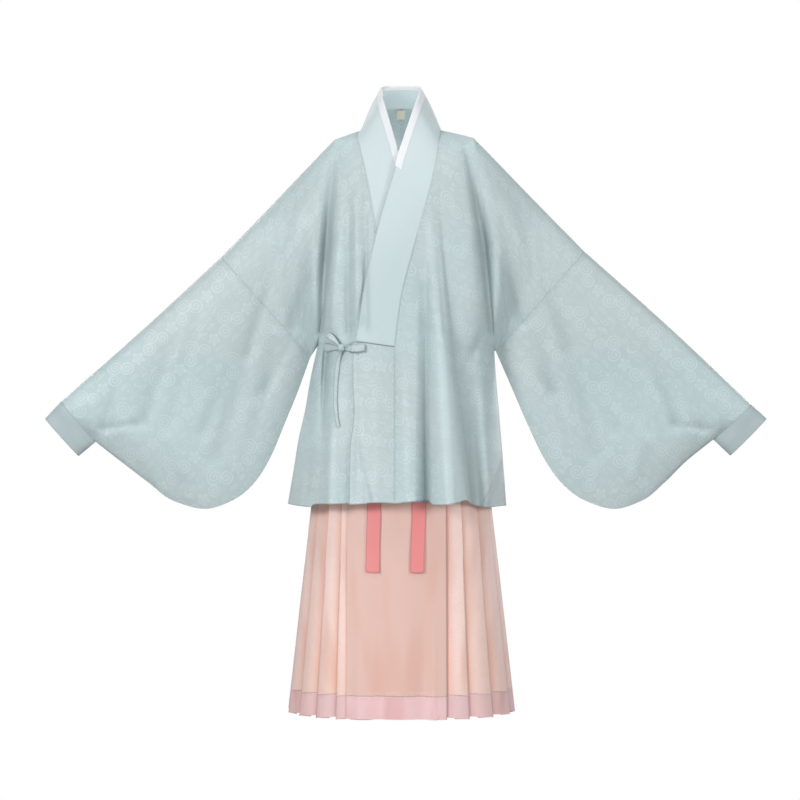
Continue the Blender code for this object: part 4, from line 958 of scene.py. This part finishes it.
def step_up(value, low, high):
    """0 below low and 1 above high, soft between."""
    node = Term.tree.nodes.new("ShaderNodeMapRange")
    node.interpolation_type = "SMOOTHSTEP"
    for name, number in (("Value", value), ("From Min", low), ("From Max", high)):
        Term.put(node.inputs[name], number)
    return Term(node.outputs["Result"])


def around(value, centre, reach):
    """1 at the centre, down to 0 at this reach from it."""
    return step_up(op("ABSOLUTE", value - centre), reach, reach * 0.4)


def vector(x, y, z=0.0):
    node = Term.tree.nodes.new("ShaderNodeCombineXYZ")
    for socket, value in zip(node.inputs, (x, y, z)):
        Term.put(socket, value)
    return Term(node.outputs[0])


def noise(place, scale, detail, rough=0.5):
    node = Term.tree.nodes.new("ShaderNodeTexNoise")
    Term.tree.links.new(place.socket, node.inputs["Vector"])
    node.inputs["Scale"].default_value = scale
    node.inputs["Detail"].default_value = detail
    node.inputs["Roughness"].default_value = rough
    return Term(node.outputs[0])


def blend(first, second, share):
    """A colour between two, each a tuple or a Term."""
    node = Term.tree.nodes.new("ShaderNodeMix")
    node.data_type = "RGBA"
    Term.put(node.inputs[0], share)
    for socket, value in ((node.inputs[6], first), (node.inputs[7], second)):
        Term.put(socket, value if isinstance(value, Term) else (*value, 1))
    return Term(node.outputs[2])


def times(colour, *factors):
    """A colour with its channels times one factor, or times a factor each."""
    return tuple(c * k for c, k in zip(colour, factors * 3 if len(factors) == 1 else factors))


def uv_of(name):
    node = Term.tree.nodes.new("ShaderNodeUVMap")
    node.uv_map = name
    parts = Term.tree.nodes.new("ShaderNodeSeparateXYZ")
    Term.tree.links.new(node.outputs[0], parts.inputs[0])
    return Term(parts.outputs[0]), Term(parts.outputs[1])


def cloud_scrolls(u, v, pitch, rise):
    """A damask figure of curled clouds over small waves, blossoms between them and short scroll lines."""
    sway = noise(vector(u, v), 9.0, 1.0)
    u, v = u + 0.010 * (sway - 0.5), v + 0.008 * (noise(vector(v, u), 11.0, 1.0) - 0.5)
    row = op("FLOOR", v / rise)
    half = op("FRACT", row * 0.5)
    column = u / pitch + half
    turn = op("SIGN", op("FRACT", (op("FLOOR", column) + row * 1.5) * 0.5) - 0.3)
    x = (op("FRACT", column) - 0.5) * pitch * turn
    y = (op("FRACT", v / rise) - 0.5) * rise

    figure = None
    for cx, cy, size in ((-0.019, -0.003, 0.0165), (0.019, -0.006, 0.0150), (0.000, 0.014, 0.0185)):
        away = length(x - cx, y - cy)
        angle = op("ARCTAN2", y - cy, (x - cx) * (1.0 if cx <= 0 else -1.0))
        curl = op("SINE", away * 900.0 - angle)
        lobe = step_up(curl, -0.25, 0.35) * step_up(away, size, size - 0.0012)
        figure = lobe if figure is None else op("MAXIMUM", figure, lobe)
    for cx, cy, size in ((-0.016, -0.034, 0.0135), (0.012, -0.036, 0.0115), (0.034, 0.018, 0.0100)):
        away = length(x - cx, (y - cy) * 1.2)
        wave = step_up(op("SINE", away * 1500.0), -0.1, 0.4) * step_up(away, size, size - 0.001)
        figure = op("MAXIMUM", figure, wave * step_up(y, cy - 0.001, cy))

    bx = (op("FRACT", column + 0.5) - 0.5) * pitch
    away = length(bx, y + 0.004)
    petals = op("SINE", op("ARCTAN2", y + 0.004, bx) * 5.0)
    rim = 0.0125 + 0.0028 * petals
    blossom = step_up(away, rim, rim - 0.0010) * (1.0 - around(away, 0.0070, 0.0012))
    figure = op("MAXIMUM", figure, blossom * (1.0 - around(away, 0.0030, 0.0011)))

    flow = noise(vector(u, v * 1.3), 26.0, 1.0)
    fill = around(op("FRACT", flow * 9.0), 0.5, 0.20) * step_up(noise(vector(v, u), 34.0, 0.5), 0.34, 0.42)
    clear = step_up(length(x, (y + 0.010) * 0.90), 0.036, 0.041) * step_up(away, 0.017, 0.020)
    return op("MAXIMUM", figure, fill * clear * 0.85)


def weave(u, v, along, across, warp):
    """Fine threads, their height from 0 to 1."""
    first = op("SINE", u * (ROUND / across)) * 0.5 + 0.5
    second = op("SINE", v * (ROUND / along)) * 0.5 + 0.5
    return first * warp + second * (1 - warp)


def cloth(name, ground, rough, sheen, figure=None, threads=(0.0006, 0.0006, 0.5), slub=0.0, mottle=0.03,
          pucker=0.0, stitch=None, bump=0.25, tint=None, fold=None, seam_and_shadow_line=0.18, shade=0.0, ends=None,
          edge_and_shadow_line=0.45, panel=(0.785, 0.70, 0.665)):
    """A woven cloth. figure is a second colour with its pitch, rise and strength, tint a colour for large
    soft changes, fold the colour of the painted shadow beside a pleat's edge, shade how far painted shade
    darkens the cloth in its folds and painted highlight lightens its ridges, ends the colour of a collar's
    two ends, and panel the painted shade of a wide flat door against the pleats."""
    made = bpy.data.materials.new(name)
    made.use_nodes = True
    tree = Term.tree = made.node_tree
    shader = tree.nodes["Principled BSDF"]
    u, v = uv_of("cloth")
    seam, hem = uv_of("edge")
    place = vector(u, v)

    large = noise(place, 5.0, 2.0)
    colour = blend(ground, times(ground, 0.93), step_up(large, 0.35, 0.70))
    if tint:
        colour = blend(colour, tint, step_up(noise(place, 3.1, 1.0), 0.42, 0.66) * 0.7)
    if ends:
        colour = blend(colour, ends, step_up(op("ABSOLUTE", u + 0.64), 0.22, 0.60))
    height = weave(u, v, *threads) * 0.10
    if figure:
        second, pitch, rise, strength = figure
        shape = cloud_scrolls(u, v, pitch, rise)
        colour = blend(colour, second, shape * strength)
        height = height + shape * 0.16
        Term.put(shader.inputs["Roughness"], rough - shape * 0.09)
    else:
        shader.inputs["Roughness"].default_value = rough
    if slub:
        runs = noise(vector(u * 14.0, v * 420.0), 1.0, 2.0, 0.6)
        colour = blend(colour, times(ground, 0.86), step_up(runs, 0.52, 0.80) * slub)
        height = height + runs * 0.30
    cloudy = noise(place, 60.0, 3.0, 0.6)
    colour = blend(colour, times(ground, 0.80), step_up(cloudy, 0.40, 0.85) * mottle * 4.0)
    worn = noise(place, 320.0, 2.0, 0.7)
    colour = blend(colour, tuple(min(c * 1.15, 1.0) for c in ground), step_up(worn, 0.58, 0.80) * 0.10)

    # Painted shade: darker over a wide flat door, in random vertical streaks standing in for soft folds, and
    # beside each pleat's edge, where the fold over it shades it.
    if fold:
        colour = blend(colour, times(ground, *panel), step_up(seam, 0.13, 0.22))
        fold_shade_streaks = noise(vector(u, v * 0.22), 15.0, 1.5)
        colour = blend(colour, times(ground, 0.74, 0.52, 0.44), step_up(fold_shade_streaks, 0.48, 0.70) * 0.42)
        colour = blend(colour, fold, step_up(seam, 0.024, 0.0) * 0.45 + step_up(seam, 0.006, 0.002) * 0.5)
    # Painted shade in the folds' valleys and painted highlight on their ridges, from the fold depths.
    if shade:
        deep, _ = uv_of("folds")
        colour = blend(colour, times(ground, 0.62), step_up(deep, 0.0015, 0.022) * shade)
        colour = blend(colour, times(ground, 1.14), step_up(deep, -0.001, -0.020) * shade * 0.8)
    # Dark lines at real seams and hems, with painted shadow in them: just past each pleat's edge on the
    # skirt, and along free edges that lie over other cloth.
    at_seam, at_hem = around(seam, 0.0012, 0.0011) * seam_and_shadow_line, around(hem, 0.0008, 0.0012) * edge_and_shadow_line
    line = op("MAXIMUM", at_seam, at_hem)
    colour = blend(colour, times(ground, 0.55), line)
    height = height - line * 0.5
    if pucker:
        drawn = noise(vector(u, v), 150.0, 1.0)
        near = step_up(hem if fold else seam, 0.016, 0.001)
        height = height + (drawn - 0.5) * near * pucker
        # Patchy darkening among the puckers: painted shade.
        colour = blend(colour, times(ground, 0.80), near * step_up(drawn, 0.48, 0.62) * 0.42)
    if stitch:
        depth, gap = stitch
        row = around(hem, depth, 0.0006) * step_up(op("SINE", (u + v) * (ROUND / gap)), -0.2, 0.3)
        colour = blend(colour, times(ground, 0.72), row * 0.6)
        height = height - around(hem, depth, 0.0016) * 0.4
    Term.put(shader.inputs["Base Color"], colour)
    shader.inputs["Sheen Weight"].default_value = sheen
    shader.inputs["Sheen Roughness"].default_value = 0.45
    shader.inputs["Specular IOR Level"].default_value = 0.4
    relief_node = tree.nodes.new("ShaderNodeBump")
    relief_node.inputs["Strength"].default_value = bump
    relief_node.inputs["Distance"].default_value = 0.0012
    Term.put(relief_node.inputs["Height"], height)
    tree.links.new(relief_node.outputs[0], shader.inputs["Normal"])
    return made


def materials():
    celadon = (0.462, 0.570, 0.582)
    damask = {
        "figure": ((0.545, 0.655, 0.660), 0.100, 0.080, 0.50), "threads": (0.0007, 0.0005, 0.6),
        # shade paints shade into the folds and highlight onto the ridges; the edge line paints the shadow
        # along the overlap's free edge as well as the hem line.
        "pucker": 2.6, "shade": 0.60, "edge_and_shadow_line": 0.75, "stitch": (0.012, 0.0032),
        "tint": (0.470, 0.530, 0.540),
    }
    ribbed = {"threads": (0.0030, 0.0006, 0.2), "stitch": (0.0030, 0.0026), "mottle": 0.02}
    return {
        "coat_damask": cloth("celadon damask", celadon, 0.50, 0.15, seam_and_shadow_line=0.15, **damask),
        "gore_damask": cloth("celadon damask of the gore", celadon, 0.50, 0.15, seam_and_shadow_line=0.65, **damask),
        # The collar's edge and seam lines paint the shadow along its leading edge, where it lies over the
        # other front, along with the seam line.
        "collar_plain": cloth(
            "pale ribbed cloth", (0.590, 0.685, 0.700), 0.55, 0.15, bump=0.5, tint=(0.560, 0.650, 0.665),
            ends=(0.500, 0.605, 0.615), seam_and_shadow_line=0.45, edge_and_shadow_line=0.6, **ribbed),
        "cuff_plain": cloth("grey-green ribbed cloth", (0.410, 0.495, 0.510), 0.55, 0.15, bump=0.4, **ribbed),
        "guard_white": cloth("white cotton", (0.77, 0.79, 0.81), 0.75, 0.10, mottle=0.01, bump=0.2),
        "label_cream": cloth(
            "cream label", (0.80, 0.74, 0.60), 0.65, 0.05, threads=(0.0004, 0.0004, 0.5), bump=0.2),
        # For the skirt and its band: fold is the colour of painted shadow beside each pleat's edge, the seam
        # line paints a thin shadow just past each edge, and panel paints shade over the flat door.
        "skirt_peach": cloth(
            "peach silk", (0.905, 0.680, 0.625), 0.48, 0.20, slub=0.35, mottle=0.05, bump=0.22, pucker=0.5,
            figure=((0.800, 0.540, 0.460), 0.150, 0.115, 0.25), tint=(0.850, 0.600, 0.520),
            fold=(0.740, 0.330, 0.220), edge_and_shadow_line=0.0),
        "band_mauve": cloth(
            "mauve band", (0.805, 0.550, 0.565), 0.50, 0.20, slub=0.25, mottle=0.04, bump=0.3, pucker=1.6,
            tint=(0.800, 0.540, 0.500), fold=(0.620, 0.340, 0.340), edge_and_shadow_line=0.2, seam_and_shadow_line=0.1,
            panel=(0.97, 0.94, 0.93)),
        "tie_coral": cloth(
            "coral ribbon", (0.770, 0.250, 0.247), 0.46, 0.25, threads=(0.0012, 0.0008, 0.3),
            stitch=(0.0016, 0.0024), mottle=0.02),
    }


LOOKS = {}


def make(name, patches, thick, slot, look=None):
    """A piece from its patches, joined where their borders meet and given its thickness."""
    points, faces, maps = [], [], {"cloth": [], "edge": [], "folds": []}
    start = 0
    for patch in patches:
        rows, columns = patch.points.shape[:2]
        i = np.arange(rows * columns).reshape(rows, columns)
        quads = np.stack([i[:-1, :-1], i[1:, :-1], i[1:, 1:], i[:-1, 1:]], axis=-1).reshape(-1, 4)
        faces.append(quads[:, ::-1] + start if patch.flip else quads + start)
        points.append(patch.points.reshape(-1, 3))
        maps["cloth"].append(patch.flat.reshape(-1, 2))
        maps["edge"].append(patch.edge.reshape(-1, 2))
        maps["folds"].append(patch.deep.reshape(-1, 2))
        start += rows * columns
    points, faces = np.concatenate(points), np.concatenate(faces)
    mesh = bpy.data.meshes.new(name)
    mesh.from_pydata(points.tolist(), [], faces.tolist())
    for title, parts in maps.items():
        corners = np.concatenate(parts)[faces.reshape(-1)].astype(np.float32)
        mesh.uv_layers.new(name=title).data.foreach_set("uv", corners.reshape(-1))
    grid = bmesh.new()
    grid.from_mesh(mesh)
    bmesh.ops.remove_doubles(grid, verts=grid.verts, dist=0.00001)
    bmesh.ops.dissolve_degenerate(grid, edges=grid.edges, dist=0.000001)
    grid.to_mesh(mesh)
    grid.free()
    piece = bpy.data.objects.new(name, mesh)
    bpy.context.scene.collection.objects.link(piece)
    mesh.materials.append(LOOKS[look or slot])
    if thick:
        shell = piece.modifiers.new("Cloth", "SOLIDIFY")
        shell.thickness, shell.offset, shell.use_even_offset = thick, 0.0, False
        graph = bpy.context.evaluated_depsgraph_get()
        solid = bpy.data.meshes.new_from_object(piece.evaluated_get(graph))
        piece.modifiers.clear()
        piece.data = solid
        mesh = solid
    mesh.shade_smooth()
    mesh.set_sharp_from_angle(angle=np.radians(75))
    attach(piece, "root")
    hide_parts(name.replace("_cloth", ""))
    return piece


def light(name, place, target, size, power):
    lamp = bpy.data.lights.new(name, "AREA")
    lamp.shape, lamp.size, lamp.energy = "DISK", size, power
    made = bpy.data.objects.new(name, lamp)
    made.location = place
    made.rotation_euler = (Vector(target) - Vector(place)).to_track_quat("-Z", "Y").to_euler()
    bpy.context.scene.collection.objects.link(made)


def backdrop(name, colour):
    """Makes the object just added an even white, seen by the camera and by nothing else."""
    made = bpy.context.object
    made.name = name
    look = bpy.data.materials.new(name)
    look.use_nodes = True
    nodes = look.node_tree.nodes
    nodes.clear()
    out, shine = nodes.new("ShaderNodeOutputMaterial"), nodes.new("ShaderNodeEmission")
    shine.inputs["Color"].default_value, shine.inputs["Strength"].default_value = (*colour, 1), 1.0
    look.node_tree.links.new(shine.outputs[0], out.inputs["Surface"])
    made.data.materials.append(look)
    made.visible_diffuse = made.visible_glossy = made.visible_shadow = made.visible_transmission = False


def studio():
    """A white room seen by the camera only, lit softly all round, the camera level with the coat's middle."""
    bpy.ops.mesh.primitive_uv_sphere_add(segments=48, ring_count=24, radius=30)
    backdrop("room", (1.0, 1.0, 1.0))
    bpy.ops.mesh.primitive_circle_add(vertices=64, radius=20, fill_type="NGON", location=(0, 0, -1.9))
    backdrop("floor", (0.997, 0.997, 0.997))
    world = bpy.data.worlds.new("studio")
    world.use_nodes = True
    sky = world.node_tree.nodes["Background"].inputs
    sky["Color"].default_value, sky["Strength"].default_value = (0.97, 0.98, 1.0, 1), 0.22
    bpy.context.scene.world = world
    bpy.context.scene.view_settings.view_transform = "Standard"
    middle = (0, 0, -0.6)
    light("key", (-3.0, -3.4, 0.8), middle, 1.5, 113)
    light("fill", (3.4, -3.2, 0.2), middle, 2.0, 76)
    light("top", (0.2, -0.8, 2.6), middle, 1.8, 30)
    light("low", (-0.3, -4.0, -1.9), (0, 0, -1.0), 2.0, 46)
    light("behind left", (-3.0, 3.6, 1.2), middle, 2.0, 60)
    light("behind right", (3.0, 3.4, 0.4), middle, 2.4, 62)
    light("inside the neck", (0, -0.025, -0.19), (0, 0.09, -0.06), 0.08, 0.36)

    lens = bpy.data.cameras.new("camera")
    lens.lens, lens.sensor_width, lens.clip_end = 114.1, 36, 100
    camera = bpy.data.objects.new("camera", lens)
    camera.location, camera.rotation_euler = (-0.0022, -5.5, -0.577), (np.radians(90), 0, 0)
    bpy.context.scene.collection.objects.link(camera)
    bpy.context.scene.camera = camera


def main():
    LOOKS.update(materials())
    words = {-1: "right", 1: "left"}
    stations, collar = collar_rows()

    def add(name, patches, thick, slot, look=None):
        make(name + "_cloth", patches, thick, slot, look)

    add("ao_collar", [Patch(collar, arcs(collar)[..., ::-1], "R", "LTB")], BAND_CLOTH, "collar_plain")
    add("ao_collar_guard", guard(stations, collar), GUARD_CLOTH, "guard_white")
    for side, word in words.items():
        panels = body(side)
        add(f"ao_body_{word}", panels, COAT_CLOTH, "coat_damask")
        if side > 0:
            add("ao_neck_label", neck_label(panels[1].points[:, 0]), GUARD_CLOTH, "label_cream")
        add(f"ao_overlap_{'outer' if side > 0 else 'inner'}", overlap(side), COAT_CLOTH, "coat_damask")
        add(f"ao_sleeve_{word}", lower_sleeve(side), COAT_CLOTH, "coat_damask")
        add(f"ao_cuff_{word}", cuff(side), BAND_CLOTH, "collar_plain", "cuff_plain")
        wide = np.linspace(SKIRT_TOP, SKIRT_JOIN, 70)
        narrow = np.linspace(SKIRT_HEM + SKIRT_BAND, SKIRT_HEM, 10)
        add(f"skirt_half_{word}", skirt_sheet(side, wide, "B"), SKIRT_CLOTH, "skirt_peach")
        add(f"skirt_band_{word}", skirt_sheet(side, narrow, "T"), SKIRT_CLOTH, "band_mauve")
        add(f"skirt_tail_{word}", tail(side), TIE_CLOTH, "tie_coral")
    add("ao_side_gore", gore(), COAT_CLOTH, "coat_damask", "gore_damask")
    add("skirt_waistband", waistband(), BAND_CLOTH, "tie_coral")
    add("skirt_tie_wrap", tie_wrap(), TIE_CLOTH, "tie_coral")
    waist = (DOOR_CENTRE, float(Rim(WAIST_KNOT).point(DOOR_CENTRE)[1]) - KNOT_LIFT, WAIST_KNOT)
    add("skirt_tie_knot", knot(waist, (0.020, 0.0065, 0.0135)), 0, "tie_coral")
    bow = (KNOT[0], float(bow_ground(*KNOT)) - 0.0091, KNOT[1])
    add("ao_bow_knot", knot(bow, (0.0078, 0.0062, 0.0078)), 0, "coat_damask")
    for name, table in TIES.items():
        add(name, laid(table), TIE_CLOTH, "coat_damask")
    studio()


main()
